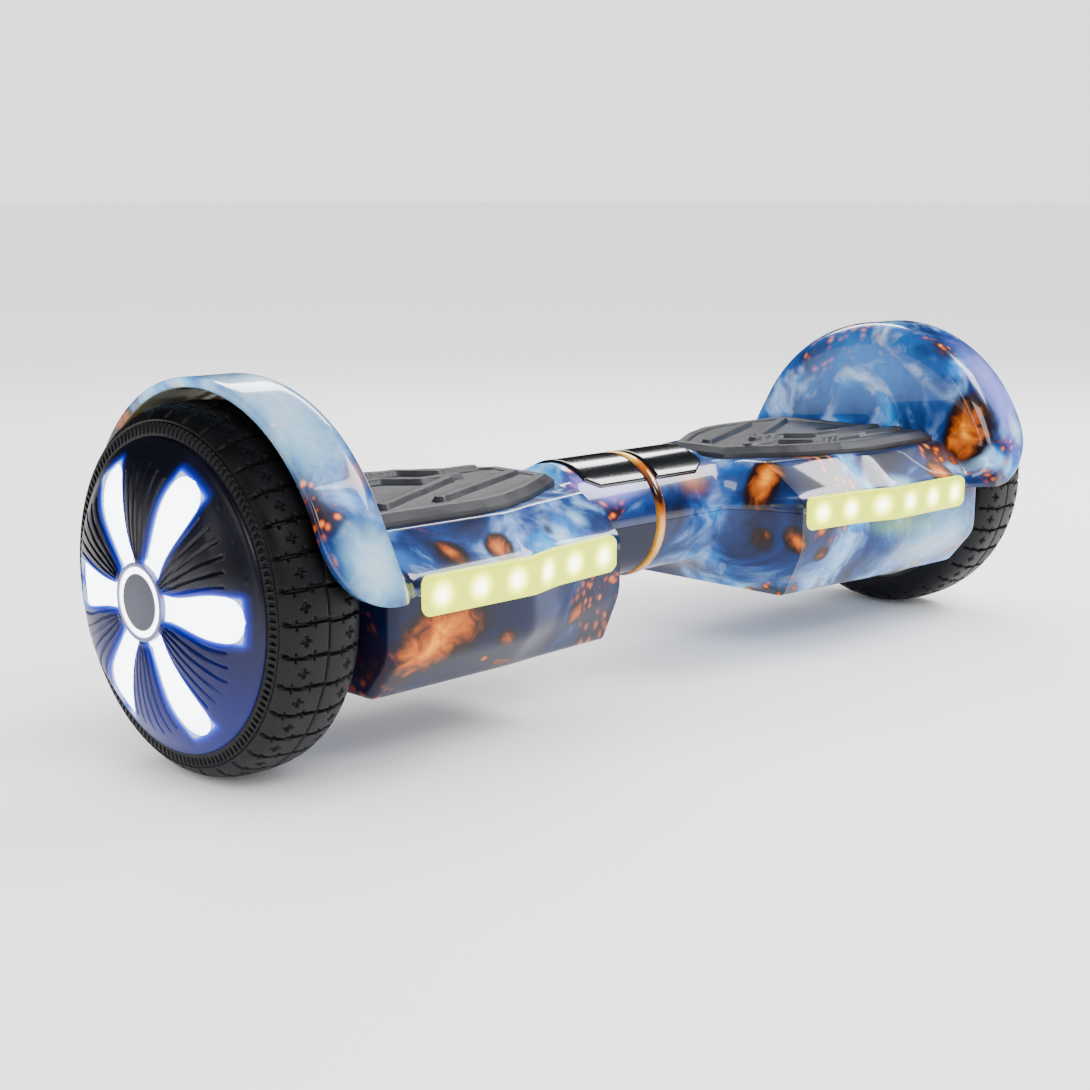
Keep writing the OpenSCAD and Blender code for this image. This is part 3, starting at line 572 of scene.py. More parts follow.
def pad_grid(turn):
    """Height of the mat over its outline: a bevel round the edge, raised bars with sloped sides, a shallow tray
    between them and a hollow near the fender. turn is -1 where the mat is fitted the other way round."""
    x = np.concatenate([np.linspace(PAD_START, PAD_START + 6, 12, endpoint=False),
                        np.linspace(PAD_START + 6, PAD_END - 6, 190, endpoint=False),
                        np.linspace(PAD_END - 6, PAD_END, 13)])
    half = np.interp(x, PAD_EDGE[:, 0], PAD_EDGE[:, 1])
    # Across, the points crowd towards both edges
    edge_t = np.linspace(0, 1, 151) * 2 - 1
    across = np.sign(edge_t) * (1 - (1 - np.abs(edge_t)) ** 1.12)
    x, y = np.broadcast_arrays(x[:, None], half[:, None] * across[None, :])
    inside = np.minimum((half[:, None] - np.abs(y)) * 0.93, np.minimum(x - PAD_START, PAD_END - x))
    z = lerp(PAD_SKIRT, PAD_FACE, np.clip(inside / 4.5, 0, 1))
    z = z - 1.1 * np.clip((inside - 9) / 1.5, 0, 1)
    for path in PAD_BARS:
        bar = np.clip(BAR_W / 2 - to_path(x, y * turn, path), 0, 1)
        z = np.maximum(z, lerp(z, PAD_FACE + BAR_RISE, bar * np.clip((inside - 5) / 1.5, 0, 1)))
    dish = np.hypot((x - 186) / 11, (y * turn - 3) / 7)
    z = z - 1.8 * np.clip((1 - dish) / 0.2, 0, 1)
    front = np.stack([x, y, z], -1)
    back = np.stack([x[:, [0, -1]], y[:, [0, -1]], np.full((len(x), 2), pad_lo[2])], -1)
    return front, back


# ---- Front light and tube cap ----
def lens_grid():
    """The strip follows the side and its step, stands proud with round edges and has round corners."""
    corner, proud, edge_w = 5.5, 1.6, 2.2
    low, high = lens_lo[0], lens_hi[0]
    x = np.concatenate([np.linspace(low, low + 5, 12, endpoint=False), np.linspace(low + 5, high - 5, 70),
                        np.linspace(high - 5, high, 13)[1:]])
    side = body_side(x)[:, None]
    end = np.minimum(x - low, high - x)
    full = (lens_hi[2] - lens_lo[2]) / 2
    half = full - corner + np.sqrt(np.clip(corner ** 2 - (corner - np.minimum(end, corner)) ** 2, 0, None))
    z = half[:, None] * np.sin(np.radians(np.linspace(-90, 90, 25)))[None, :]
    inside = np.minimum(half[:, None] - np.abs(z), end[:, None])
    rise = proud * np.sqrt(1 - (1 - np.clip(inside / edge_w, 0, 1)) ** 2)
    mid = (lens_hi[2] + lens_lo[2]) / 2
    x = np.broadcast_to(x[:, None], z.shape)
    front = np.stack([x, -(side + rise - 0.2), mid + z], -1)
    back = np.stack([x, -(side - 2.5 + 0 * z), mid + z], -1)[:, [0, -1]]
    return front, back


def cap_grid(low, high):
    """A curved plate on the sleeve between two places along X, with round edges and its outer corners cut off."""
    edge_r = 1.4
    x = np.linspace(low, high, 40)
    widest = np.radians(np.interp(x, [high - 9, high], [50, 39]))
    angle = widest[:, None] * np.linspace(-1, 1, 61)[None, :]
    end = np.minimum(x - low, high - x)
    inside = np.minimum((widest[:, None] - np.abs(angle)) * SLEEVE_R, end[:, None])
    rise = edge_r * np.sqrt(1 - (1 - np.clip(inside / edge_r, 0, 1)) ** 2)
    x = np.broadcast_to(x[:, None], angle.shape)

    def shell_at(r):
        return np.stack([x, r * np.sin(angle), SEAM_Z + r * np.cos(angle)], -1)
    return shell_at(SLEEVE_R + 0.02 + rise), shell_at(SLEEVE_R - 0.4)


# ---- Wheel ----
GROOVES = 36
RIM_R = 66.0
BEAD_R = 69.0
# Steps round the tyre: twenty for each groove
TYRE_STEPS = 20 * GROOVES


def smooth_band(distance, half, edge=0.45):
    """1 within half of a line, falling to 0 over edge."""
    return np.clip((half + edge / 2 - np.abs(distance)) / edge, 0, 1)


def tyre_points():
    """Round tyre: off = half width * sign(cos) |cos|^0.75 and r = bead + height * sin^0.75, taken at even steps s
    along the profile from the outer bead. Into it are sunk a row of fine teeth beside the cover, wavy grooves
    across, one groove round the middle, and small crosses on the grooves and between them."""
    t = np.linspace(0, np.pi, 2001)
    wide = TYRE_HALF * np.sign(np.cos(t)) * np.abs(np.cos(t)) ** 0.75
    tall = BEAD_R + (TYRE_R - BEAD_R) * np.sin(t).clip(0) ** 0.75
    run = np.concatenate([[0], np.cumsum(np.hypot(np.diff(wide), np.diff(tall)))])
    s = np.linspace(0, run[-1], 93)
    across, crown = np.interp(s, run, wide), np.interp(s, run, tall)
    slope = np.stack([np.gradient(across), np.gradient(crown)], -1)
    slope /= np.linalg.norm(slope, axis=-1, keepdims=True)
    out = np.stack([slope[:, 1], -slope[:, 0]], -1)
    turn = np.linspace(0, 2 * np.pi, TYRE_STEPS, endpoint=False)[:, None]
    pitch = 2 * np.pi * TYRE_R / GROOVES
    s, end = s[None, :] + 0 * turn, run[-1]
    wave = turn * GROOVES / (2 * np.pi) + 0.03 * np.sin(s / 3.2)
    along = (wave + 0.5) % 1 * pitch - pitch / 2
    between = wave % 1 * pitch - pitch / 2
    tread = np.clip((s - 7.5) / 1.5, 0, 1) * np.clip((end - 7.5 - s) / 1.5, 0, 1)
    # Each cut has its own depth, and where two meet the deeper one counts
    cut = 1.7 * smooth_band(along, 0.7) * tread
    for lane in (0.24, 0.38, 0.62, 0.76):
        cut = np.maximum(cut, 1.3 * smooth_band(s - lane * end, 0.5) * smooth_band(along, 2.3))
    for lane in (0.31, 0.69):
        cross = np.maximum(smooth_band(s - lane * end, 0.5) * smooth_band(between, 2.3),
                           smooth_band(between, 0.5) * smooth_band(s - lane * end, 2.3))
        cut = np.maximum(cut, 1.2 * cross)
    cut = np.maximum(cut, 1.2 * smooth_band(s - 0.5 * end, 0.5))
    cut = np.maximum(cut, 0.7 * smooth_band(s - 6.3, 0.4))
    tooth = np.abs((turn * GROOVES * 4 / (2 * np.pi)) % 1 - 0.5) < 0.22
    cut = np.maximum(cut, 1.2 * tooth * smooth_band(s - 3.6, 1.5, 0.8))
    x = TYRE_MID + across[None, :] - cut * out[None, :, 0]
    r = crown[None, :] - cut * out[None, :, 1]
    bead_x = np.broadcast_to([tyre_lo[0], tyre_hi[0]], (TYRE_STEPS, 2))
    x, r = np.concatenate([x, bead_x], 1), np.concatenate([r, np.full((TYRE_STEPS, 2), RIM_R)], 1)
    points = np.stack([x, r * np.sin(turn), AXLE_Z - r * np.cos(turn)], -1)
    return points, quads(TYRE_STEPS, x.shape[1], True, True)


WINDOWS = 6
# Angle between two windows' middles
WINDOW_TURN = 2 * np.pi / WINDOWS
WINDOW_END = 62.0
WINDOW_ROUND = 53.0
BADGE_R = badge_hi[1]
COVER_R = cover_hi[1]
DOME_X = badge_hi[0] - 1.4
DOME_H = DOME_X - tyre_hi[0] - 0.6
DOME_POWER = 3.2


def window_half(r):
    """Half width of a lit window: narrow at the badge, flaring in an S, then closing in a round end."""
    wide = lerp(5.4, 9.6, smooth(np.clip((r - 22) / 30, 0, 1)))
    close = np.clip((r - WINDOW_ROUND) / (WINDOW_END - WINDOW_ROUND), 0, 1)
    return wide * (1 - close ** 3.2) ** 0.45


def dome(r):
    """The cover's height: a flat crown at the badge that falls by a power of the distance from it to its edge."""
    return DOME_X - DOME_H * (np.clip(r - BADGE_R, 0, None) / (COVER_R - BADGE_R)) ** DOME_POWER


def cover_mesh(side):
    """Six petals between the windows and the rim that joins them, on one grid of radius and share of the petal. The
    petals swell, are rounded at the windows and carry thin grooves that fan out from the badge."""
    radii = np.concatenate([np.linspace(BADGE_R, 54, 56, endpoint=False), np.linspace(54, 63, 26, endpoint=False),
                            np.linspace(63, COVER_R - 2, 7)])
    share = np.linspace(0, 1, 57)[None, :]
    r = radii[:, None] + 0 * share
    gap = np.where(r < WINDOW_END, np.arcsin(np.clip(window_half(r) / r, 0, 1)), 0)
    span = WINDOW_TURN / 2 - gap
    angle = span * (2 * share - 1)
    arc_mm = 2 * span * r
    fade = np.clip((WINDOW_END + 3 - r) / 10, 0, 1)
    edge = np.minimum(share, 1 - share) * arc_mm
    height = dome(r) + 1.3 * fade * (1 - (2 * share - 1) ** 2) - 0.6 * fade * (1 - np.clip(edge / 2.5, 0, 1)) ** 2
    # Fan grooves, the middle ones longest, and a ring of small dots outside them
    for k in range(6):
        line = (k + 0.7) / 6.4
        end = 60.5 - 1.6 * abs(k - 2.5)
        deep = smooth_band((share - line) * arc_mm, 0.45, 0.6)
        height = height - 0.9 * deep * np.clip((end - r) / 1.5, 0, 1) * np.clip((r - 18.5) / 2, 0, 1)
    dots = np.hypot((np.abs((angle * 6 / np.pi * 2 + 0.5) % 1 - 0.5)) * np.pi / 12 * r, r - 64.5)
    height = height + 0.45 * np.clip(1 - dots / 0.8, 0, 1)
    # The rim turns down to the wheel
    brim = dome(COVER_R - 2)
    rim_r = np.array([COVER_R - 1.1, COVER_R - 0.4, COVER_R, COVER_R])[:, None] + 0 * share
    rim_h = np.array([brim - 0.4, brim - 1.0, brim - 2.0, cover_lo[0]])[:, None] + 0 * share
    r, angle = np.concatenate([r, rim_r]), np.concatenate([angle, np.broadcast_to(angle[-1], rim_r.shape)])
    height = np.concatenate([height, rim_h])
    # A petal's middle lies half a turn between two windows, and the first window points to the rear
    petal = np.arange(WINDOWS)[:, None, None]
    a = np.pi / 2 + (petal + 0.5) * 2 * np.pi / WINDOWS + angle
    heights = np.broadcast_to(height, a.shape)
    points = np.stack([heights, r * np.sin(a), AXLE_Z + r * np.cos(a)], -1)
    faces = (np.array(quads(*r.shape))[None] + r.size * petal).reshape(-1, 4).tolist()
    mesh = mesh_of("wheel_cover", points, faces, side)
    # Distance from the nearest window, for a painted glow that stands in for the windows' light on the petals
    at = np.empty(len(mesh.vertices) * 3)
    mesh.vertices.foreach_get("co", at)
    at = at.reshape(-1, 3) / MM
    r = np.hypot(at[:, 1], at[:, 2] - AXLE_Z)
    a = np.arctan2(at[:, 1], at[:, 2] - AXLE_Z) - np.pi / 2
    a = np.abs((a / WINDOW_TURN + 0.5) % 1 - 0.5) * 2 * np.pi / WINDOWS
    beside = np.clip(a * r - window_half(np.minimum(r, 57.0)), 0, None)
    far = np.hypot(beside, np.clip(r - WINDOW_END + 0.5, 0, None))
    painted_window_glow = mesh.attributes.new("painted_window_glow", "FLOAT", "POINT")
    painted_window_glow.data.foreach_set("value", np.exp(-far / 2.6).astype(np.float32))
    return mesh


def diffuser_mesh(side):
    """Thin dome under the windows, 1.9 mm below the cover's height and 1.6 mm thick."""
    steps = 96
    r = np.linspace(15.5, 63.5, 25)
    r, h = np.concatenate([r, r[::-1]]), np.concatenate([dome(r) - 1.9, dome(r[::-1]) - 3.5])
    return mesh_of("diffuser", turned(h, r, steps, AXLE_Z), quads(steps, len(r), True, True), side)


def badge_mesh(side):
    """Turned disc: a rounded rim, a shallow ring channel and a slightly domed middle."""
    steps = 72
    r = np.array([0.0, 6, 11.5, 12.4, 12.6, 15.0, 15.2, 15.6, 16.6, 17.1, BADGE_R - 0.05, BADGE_R - 0.05])
    h = np.array([0.0, -0.1, -0.35, -0.4, -0.9, -0.9, -0.3, 0.0, 0.0, -0.25, -0.7, -2.4]) + badge_hi[0]
    faces = quads(steps, len(r), wrap_rows=True) + [(np.arange(steps) * len(r) + len(r) - 1).tolist()]
    return mesh_of("wheel_badge", turned(h, r, steps, AXLE_Z), faces, side)


def collar_mesh():
    """Turned band with rounded sides, round the sleeves' ends."""
    steps, edge_r, bore_r = 120, 1.2, 20.0
    t = np.radians(np.linspace(0, 180, 13))
    middle, half_w = (collar_lo[0] + collar_hi[0]) / 2, (collar_hi[0] - collar_lo[0]) / 2
    x = np.concatenate([middle - half_w * np.cos(t), [collar_hi[0], collar_lo[0]]])
    r = np.concatenate([collar_hi[1] - edge_r + edge_r * np.sin(t) ** 0.6, [bore_r, bore_r]])
    return mesh_of("band", turned(x, r, steps, SEAM_Z), quads(steps, len(x), True, True))


# ---- Finishes ----
RUBBER = finish("vulcanised_tyre_rubber", "#060609", "#0b0b10", 0.5, 0.8, bump=0.25, mirror=0.22)
PAD_RUBBER = finish("moulded_mat_rubber", "#222327", "#2e2f34", 0.42, 0.7, bump=0.6, mirror=0.4)
GLOSS = finish("polished_black_abs", "#0b0c0f", "#15171b", 0.16, 3.0, bump=0.01, coat=1.0, rough_spread=0.05)

# Centres and radii are in millimetres; the ones at negative x are on the left half. The greenish washes along the
# light strips are a painted glow of the strips' light on the shell.
films = {
    "left_top": printed_film("film_left_upper", -0.005, [
        ((-248, -30, 160), (40, 90, 40), "ice"), ((-240, -92, 105), (26, 26, 34), "ice"),
        ((-150, -82, 88), (70, 12, 10), "green"), ((-30, -20, 110), (36, 34, 14), "mauve"),
        ((-208, -80, 106), (13, 16, 10), "blue"), ((-236, -70, 140), (10, 22, 14), "amber"),
        ((-181, -73, 101), (10, 12, 8), "flame"), ((-154, -72, 101), (11, 13, 8), "flame"),
        ((-118, -78, 104), (6, 14, 6), "flame"), ((-93, -66, 101), (12, 16, 9), "ice"),
        ((-255, 60, 150), (24, 16, 18), "flame")], 0.03),
    "left_base": printed_film("film_left_lower", -0.14, [
        ((-165, -60, 55), (140, 70, 50), "night"), ((-201, -80, 63), (42, 60, 21), "flame", 30),
        ((-104, -76, 56), (8, 14, 8), "flame"), ((-158, -80, 60), (9, 14, 8), "flame"),
        ((-165, -80, 46), (5, 12, 4), "flame"), ((-147, -80, 43), (15, 16, 4), "flame"),
        ((-226, -40, 60), (5, 60, 30), "night")], 0.07, 0.15),
    "right_top": printed_film("film_right_upper", -0.03, [
        ((226, 10, 145), (10, 80, 50), "blue"), ((250, -60, 130), (22, 60, 60), "mauve"),
        ((253, -84, 118), (12, 30, 16), "ice"), ((224, -72, 121), (18, 16, 26), "flame"),
        ((66, -46, 98), (15, 11, 22), "flame"), ((92, -66, 103), (8, 10, 6), "flame"),
        # The white ice wash at x 150 is a painted reflection of a soft box on the flat front face, not print
        ((150, -80, 98), (22, 14, 11), "ice"), ((120, -76, 102), (12, 14, 9), "night"),
        ((190, -80, 100), (13, 14, 10), "flame"), ((116, -76, 104), (7, 14, 6), "flame"),
        ((140, -84, 90), (70, 14, 8), "green"), ((30, -24, 104), (24, 26, 16), "amber")], 0.045),
    "right_base": printed_film("film_right_lower", -0.02, [
        ((185, -80, 58), (60, 40, 30), "ice"), ((72, -66, 74), (10, 9, 9), "flame"),
        ((90, -74, 64), (7, 12, 6), "flame"), ((60, -50, 70), (12, 9, 10), "flame"),
        ((150, -84, 74), (80, 14, 9), "green"), ((54, -20, 46), (16, 30, 14), "amber")], 0.03, 0.5)}


def lens_material():
    """Frosted polycarbonate over a row of light diodes: an even yellow-green glow, white and hot at each diode."""
    material, tree, shader = blank("frosted_light_strip", Base_Color=linear("#2c3000"), Roughness=0.3)
    spot = add(tree, "SeparateXYZ", {0: add(tree, "TexCoord").outputs["Object"]})
    # Along and up from the nearest diode, as shares of its hot spot
    pitch = (lens_hi[0] - lens_lo[0]) / 6 * MM
    away = add(tree, "Math", {0: spot.outputs[0]}, operation="ABSOLUTE").outputs[0]
    step = add(tree, "Math", {0: away, 1: lens_lo[0] * MM}, operation="SUBTRACT").outputs[0]
    cell = add(tree, "Math", {0: step, 1: pitch}, operation="DIVIDE").outputs[0]
    part = add(tree, "Math", {0: cell}, operation="FRACT").outputs[0]
    part = add(tree, "Math", {0: part, 1: 0.5}, operation="SUBTRACT").outputs[0]
    along = add(tree, "Math", {0: part, 1: pitch / (7.5 * MM)}, operation="MULTIPLY").outputs[0]
    middle = (lens_hi[2] + lens_lo[2]) / 2 * MM
    up = add(tree, "Math", {0: spot.outputs[2], 1: middle}, operation="SUBTRACT").outputs[0]
    up = add(tree, "Math", {0: up, 1: 1 / (7.0 * MM)}, operation="MULTIPLY").outputs[0]
    both = add(tree, "CombineXYZ", {0: along, 1: up})
    far = add(tree, "VectorMath", {0: both.outputs[0]}, operation="LENGTH").outputs["Value"]
    colour = ramp(tree, far, [(0.0, "#ffffff"), (0.3, "#ffffd0"), (0.7, "#f6ff50"), (1.0, "#f0ff1c")])
    tree.links.new(colour, shader.inputs["Emission Color"])
    power = add(tree, "MapRange", {"Value": far, "From Min": 0.1, "From Max": 1.25, "To Min": 8.0, "To Max": 2.5},
                interpolation_type="SMOOTHSTEP").outputs[0]
    tree.links.new(power, shader.inputs["Emission Strength"])
    return material


def glow_material():
    """Frosted acrylic diffuser behind the windows: white light, blue towards its outer edge."""
    material, tree, shader = blank("wheel_diffuser", Base_Color=linear("#e8eef8"), Roughness=0.4,
                                   Emission_Strength=6.5)
    far = from_axle(tree, add(tree, "SeparateXYZ", {0: add(tree, "TexCoord").outputs["Object"]}))
    share = add(tree, "Math", {0: far, 1: 1 / (WINDOW_END * MM)}, operation="MULTIPLY").outputs[0]
    colour = ramp(tree, share, [(0.0, "#e9f2ff"), (0.8, "#ffffff"), (1.0, "#dfeaff")])
    tree.links.new(colour, shader.inputs["Emission Color"])
    return material


def cover_material():
    """Textured black-blue polycarbonate, satin, with a painted blue glow that stands in for the windows' light on
    its petals.
    """
    material, tree, shader = blank("satin_wheel_cover", Roughness=0.34, Specular_IOR_Level=0.3,
                                   Emission_Strength=1.5)
    spot = add(tree, "TexCoord").outputs["Object"]
    drift = add(tree, "TexNoise", {"Vector": spot, "Scale": 40.0, "Detail": 2.0})
    colour = ramp(tree, drift.outputs["Fac"], [(0.35, "#06060e"), (0.65, "#0b0b18")])
    tree.links.new(colour, shader.inputs["Base Color"])
    grain = add(tree, "TexNoise", {"Vector": spot, "Scale": 1600.0, "Detail": 2.0})
    relief = add(tree, "Bump", {"Height": grain.outputs["Fac"], "Strength": 0.12, "Distance": 0.0002})
    tree.links.new(relief.outputs[0], shader.inputs["Normal"])
    # Painted glow: emission on the petals near the windows stands in for the windows' light falling on them
    near = add(tree, "Attribute", attribute_name="painted_window_glow").outputs["Fac"]
    painted_glow_colour = ramp(tree, near, [(0.0, "#000000"), (0.2, "#010314"), (0.5, "#0a1c90"), (0.8, "#2c58ff"),
                             (1.0, "#c4d8ff")])
    # Painted blue sheen, strongest low down: emission that stands in for blue light falling on the lower petals
    high = add(tree, "SeparateXYZ", {0: spot}).outputs[2]
    painted_blue_sheen = add(tree, "MapRange", {"Value": high, "From Min": (AXLE_Z + 15) * MM, "From Max": (AXLE_Z - 62) * MM,
                                  "To Max": 0.22}, interpolation_type="SMOOTHSTEP").outputs[0]
    painted_glow_colour = add(tree, "Mix", {0: painted_blue_sheen, 6: painted_glow_colour, 7: linear("#1c33d8")}, data_type="RGBA", blend_type="ADD").outputs[2]
    tree.links.new(painted_glow_colour, shader.inputs["Emission Color"])
    return material


def badge_material():
    """Anodised lilac-grey disc with a ring of lit acrylic let into it."""
    material, tree, shader = blank("anodised_badge", Roughness=0.35, Emission_Strength=5.0)
    far = from_axle(tree, add(tree, "SeparateXYZ", {0: add(tree, "TexCoord").outputs["Object"]}))
    share = add(tree, "Math", {0: far, 1: 1 / (BADGE_R * MM)}, operation="MULTIPLY").outputs[0]
    colour = ramp(tree, share, [(0.0, "#2c2d44"), (0.7, "#26273a"), (0.74, "#e8ecff"), (0.86, "#e8ecff"),
                                (0.9, "#6b6e98"), (1.0, "#565a88")])
    tree.links.new(colour, shader.inputs["Base Color"])
    light = ramp(tree, share, [(0.0, "#000000"), (0.71, "#000000"), (0.735, "#ffffff"), (0.865, "#ffffff"),
                               (0.89, "#000000")])
    tree.links.new(light, shader.inputs["Emission Color"])
    return material


def collar_material():
    """The film's brightest stretch, printed on the turned collar: white, yellow and orange bands that wander."""
    material, tree, shader = blank("film_on_collar", Roughness=0.2, Coat_Weight=1.0)
    spot = add(tree, "TexCoord").outputs["Object"]
    drift = add(tree, "TexNoise", {"Vector": spot, "Scale": 26.0, "Detail": 3.0, "Distortion": 0.6})
    colour = ramp(tree, drift.outputs["Fac"], [(0.34, "#2a0f08"), (0.42, "#a85604"), (0.5, "#e09c10"),
                                               (0.58, "#ffd45c"), (0.7, "#7f9cc0")])
    tree.links.new(colour, shader.inputs["Base Color"])
    return material


LENS = lens_material()
GLOW = glow_material()
COVER = cover_material()
BADGE = badge_material()
COLLAR = collar_material()

# Finishes of the CAD nodes that stay: what each is made of, how it was made and what that looks like
node_finishes = {
    "buffer_rubber": finish("soft_buffer_rubber", "#141517", "#1e2022", 0.7, 1.0),
    "circuit_board": finish("lacquered_circuit_board", "#0f3a22", "#1c5a34", 0.35, 2.0, coat=0.3),
    "cast_aluminium": finish("die_cast_aluminium", "#9a9da1", "#b9bcc0", 0.45, 1.2, bump=0.3, metal=1.0),
    "black_steel": finish("black_oxide_steel", "#1b1c1f", "#2a2c30", 0.4, 0.8, metal=0.9),
    "zinc_steel": finish("zinc_plated_steel", "#a6a9ad", "#c9ccd0", 0.3, 0.8, metal=1.0),
    "bright_steel": finish("ground_bearing_steel", "#b4b7bb", "#d2d4d8", 0.22, 0.6, metal=1.0),
    "copper_winding": finish("enamelled_copper_wire", "#8a3d16", "#b5622c", 0.3, 1.4, bump=0.4, metal=0.7),
    "magnet": finish("nickel_plated_magnet", "#9b9da0", "#b8babd", 0.25, 0.8, metal=1.0),
    "bronze": finish("sintered_bronze", "#8f6a2c", "#b98d45", 0.45, 0.7, metal=1.0),
    "black_rim": finish("painted_black_rim", "#131417", "#202226", 0.4, 1.5, coat=0.2),
    "cable": finish("extruded_cable_rubber", "#111214", "#1b1d1f", 0.55, 0.9),
    "battery_wrap": finish("shrink_wrapped_film", "#153a86", "#2a5cb4", 0.3, 3.0, bump=0.3),
    "socket_metal": finish("plated_socket_shell", "#8d9094", "#b3b6ba", 0.25, 0.8, metal=1.0),
    "button": finish("moulded_button_abs", "#b9bdc3", "#d3d6db", 0.35, 1.0, coat=0.3),
    "gloss_trim": GLOSS, "badge": BADGE, "wheel_glow": GLOW, "collar": COLLAR, "light_lens": LENS,
    "pad_rubber": PAD_RUBBER, "tyre_rubber": RUBBER, "cover_plastic": COVER,
    "printed_shell": films["right_top"], "printed_shell_dark": films["right_base"]}
for part in frame["record"]["subparts"]:
    for held in frame["nodes"][part["node"]].material_slots:
        held.material = node_finishes[part["material_slot"]]


# ---- Pieces ----
def pad_pocket(clear=0.3):
    """Outline of the mat's pocket in the deck: the mat's outline moved outwards, and its ends along the board."""
    edge = np.concatenate([PAD_EDGE * (1, -1), PAD_EDGE[::-1]])
    middle = (PAD_START + PAD_END) / 2
    at_end = np.abs(edge[:, 0] - middle) > 70
    return edge + clear * np.sign(edge - (middle, 0)) * np.stack([at_end, np.ones(len(edge))], -1)


def base_cutters(side):
    """Holes in the lower shell for four screws, and on the left half for the socket, button and speaker."""
    screws = [circle(x, y, 3.3) for x in (88, 214) for y in (-52, 52)]
    cutters = [prism(screw, FLOOR_Z - 5, FLOOR_Z + 1.9, side=side) for screw in screws]
    if side > 0:
        return cutters
    for node, grow in (("charge_socket", -2.0), ("power_button", 0.3)):
        low, high = cad(node)
        middle = (low + high) / 2
        hole = circle(-middle[0], middle[2], (high[0] - low[0]) / 2 + grow)
        cutters.append(prism(hole, BODY_Y - 12, BODY_Y + 9, axis=1, side=side))
    low, high = cad("speaker")
    speaker_x = -(low[0] + high[0]) / 2
    for ring_r in (4, 9):
        for a in np.radians(np.arange(0, 360, 60)):
            hole = circle(speaker_x + ring_r * np.cos(a), ring_r * np.sin(a), 1.4, 12)
            cutters.append(prism(hole, FLOOR_Z - 5, FLOOR_Z + 8, side=side))
    return cutters


def solid(name, front, back, side):
    """Mesh of the closed solid between two grids."""
    points, faces = slab(front, back)
    return mesh_of(name, points, faces, side)


for side, hand in ((-1, "left"), (1, "right")):
    half, wheel = hand + "_half", hand + "_wheel"
    # Place of the sleeve's inner end, beside the middle of the board
    start = cad(hand + "_top_shell")[0 if side > 0 else 1][0] * side
    rings = top_shell_rings(start)
    pocket = prism(pad_pocket(), DECK_Z - 1.9, DECK_Z + 20, side=side)
    shell = drilled(mesh_of("top", rings, ring_loft(rings), side), [pocket])
    place(hand + "_upper_shell", shell, 38, half, films[hand + "_top"], [hand + "_top_shell"])

    rings = bottom_shell_rings(start)
    shell = drilled(mesh_of("base", rings, ring_loft(rings), side), base_cutters(side))
    place(hand + "_lower_shell", shell, 38, half, films[hand + "_base"],
          [hand + "_bottom_shell"])

    # The two mats are the same piece, so one of them lies turned round
    mat = solid("mat", *pad_grid(-side), side)
    place(hand + "_mat", mat, 50, hand + "_pad", PAD_RUBBER, [hand + "_foot_pad"])

    strip = solid("strip", *lens_grid(), side)
    place(hand + "_light_strip", strip, 60, half, LENS, [hand + "_light_lens"])

    low, high = [corner[0] * side for corner in cad(hand + "_tube_cap")][::side]
    plate = solid("plate", *cap_grid(low, high), side)
    place(hand + "_tube_plate", plate, 60, half, GLOSS, [hand + "_tube_cap"])

    tread = mesh_of("tread", *tyre_points(), side)
    place(hand + "_treaded_tyre", tread, 30, wheel, RUBBER, [hand + "_tyre"])

    petals = cover_mesh(side)
    cover = place(hand + "_petal_cover", petals, 40, wheel, COVER, [hand + "_wheel_cover"])
    thick = cover.modifiers.new("wall", "SOLIDIFY")
    thick.thickness, thick.offset = 1.2 * MM, -1

    place(hand + "_light_diffuser", diffuser_mesh(side), 40, wheel, GLOW, [hand + "_wheel_light"])
    place(hand + "_badge_disc", badge_mesh(side), 40, wheel, BADGE, [hand + "_wheel_badge"])

place("collar_band", collar_mesh(), 50, "right_half", COLLAR, ["collar_ring"])


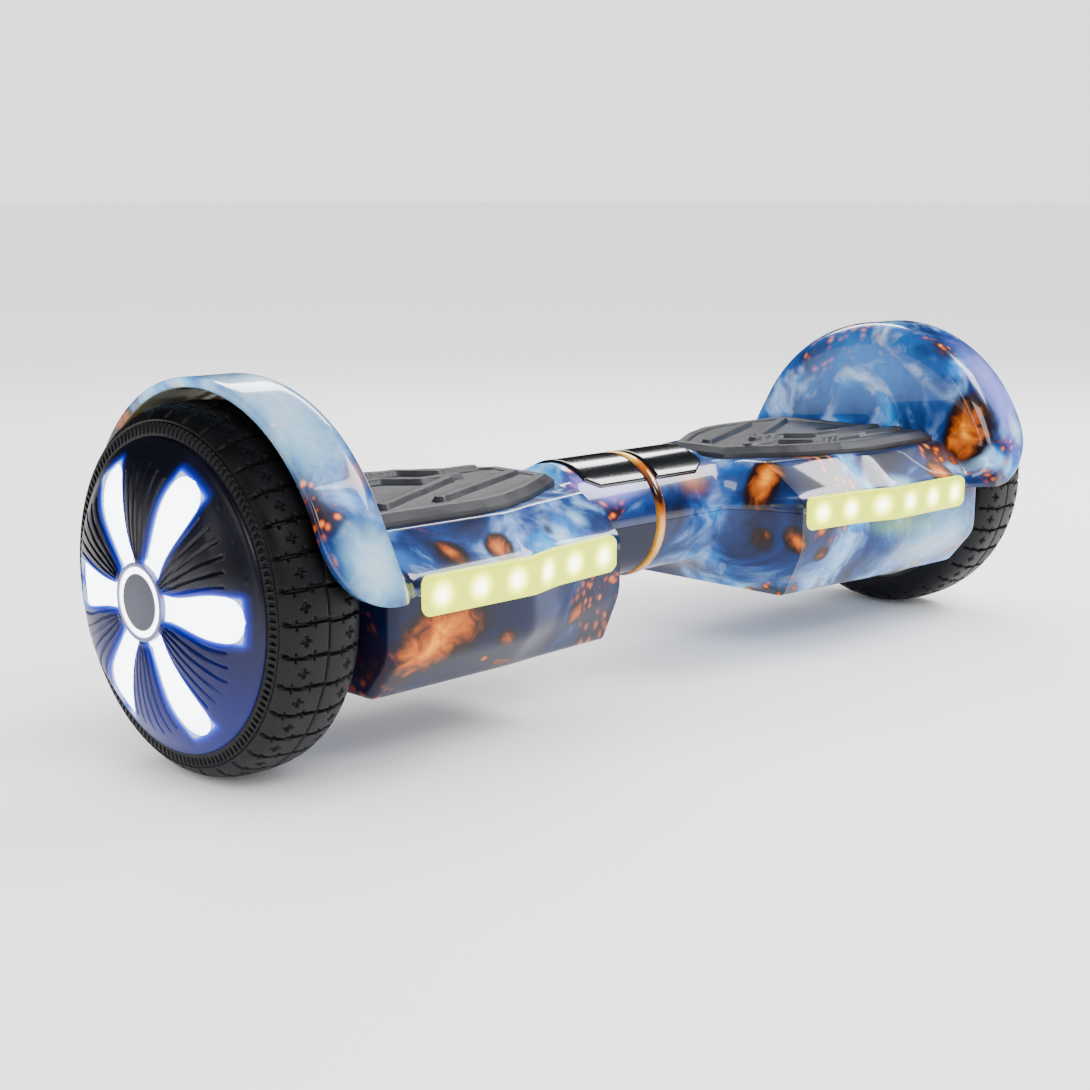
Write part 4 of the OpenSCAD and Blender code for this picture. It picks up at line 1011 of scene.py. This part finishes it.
# ---- Studio ----
def camera_at(azimuth, elevation, spot, lens, shift):
    """Camera that looks down the line from the azimuth and elevation, upright."""
    a, e = np.radians([azimuth, elevation])
    back = Vector((np.sin(a) * np.cos(e), -np.cos(a) * np.cos(e), np.sin(e)))
    right = Vector((np.cos(a), np.sin(a), 0))
    up = back.cross(right)
    camera = bpy.data.objects.new("camera", bpy.data.cameras.new("camera"))
    camera.matrix_world = Matrix.Translation(spot) @ Matrix((right, up, back)).transposed().to_4x4()
    camera.data.lens, camera.data.sensor_width = lens, 36
    camera.data.shift_x, camera.data.shift_y = shift
    camera.data.clip_end = 400
    bpy.context.scene.collection.objects.link(camera)
    bpy.context.scene.camera = camera


camera_at(azimuth=-44.43, elevation=14.23, spot=(-0.6982, -0.6480, 0.2484), lens=59.4, shift=(0.013, 0.1008))

# Wide enough for the floor to reach the horizon, in metres
FLOOR_HALF = 100.0
corners = [(-1, -1), (1, -1), (1, 1), (-1, 1)]
floor_mesh = bpy.data.meshes.new("floor")
floor_mesh.from_pydata([(FLOOR_HALF * x, FLOOR_HALF * y, 0) for x, y in corners], [], [(0, 1, 2, 3)])
floor = bpy.data.objects.new("floor", floor_mesh)
bpy.context.scene.collection.objects.link(floor)
floor_mesh.materials.append(blank("pale_floor", Base_Color=linear("#fdfdfd"), Roughness=0.9)[0])


def soft_light(name, spot, target, size, power):
    """Soft box of size (width, height) in metres and power in watts, facing its target."""
    light = bpy.data.lights.new(name, "AREA")
    light.shape, light.energy = "RECTANGLE", power
    light.size, light.size_y = size
    obj = bpy.data.objects.new(name, light)
    spot, target = Vector(spot), Vector(target)
    obj.matrix_world = Matrix.Translation(spot) @ (spot - target).to_track_quat("Z", "Y").to_matrix().to_4x4()
    bpy.context.scene.collection.objects.link(obj)


centre = (0, 0, 0.09)
soft_light("key", (1.15, -0.55, 1.2), centre, (0.8, 0.5), 26)
soft_light("front", (-0.5, -1.2, 1.1), centre, (1.0, 0.3), 10)
soft_light("rear", (0.9, 0.9, 1.0), centre, (0.9, 0.3), 12)
soft_light("left", (-1.5, 0.1, 0.55), centre, (0.3, 0.5), 2)

# The room lights everything evenly; only the soft boxes show in the gloss
world = bpy.data.worlds.new("studio")
bpy.context.scene.world = world
world.use_nodes = True
world.node_tree.nodes["Background"].inputs[0].default_value = linear("#ffffff")
world.node_tree.nodes["Background"].inputs[1].default_value = 2.0
world.cycles_visibility.glossy = False
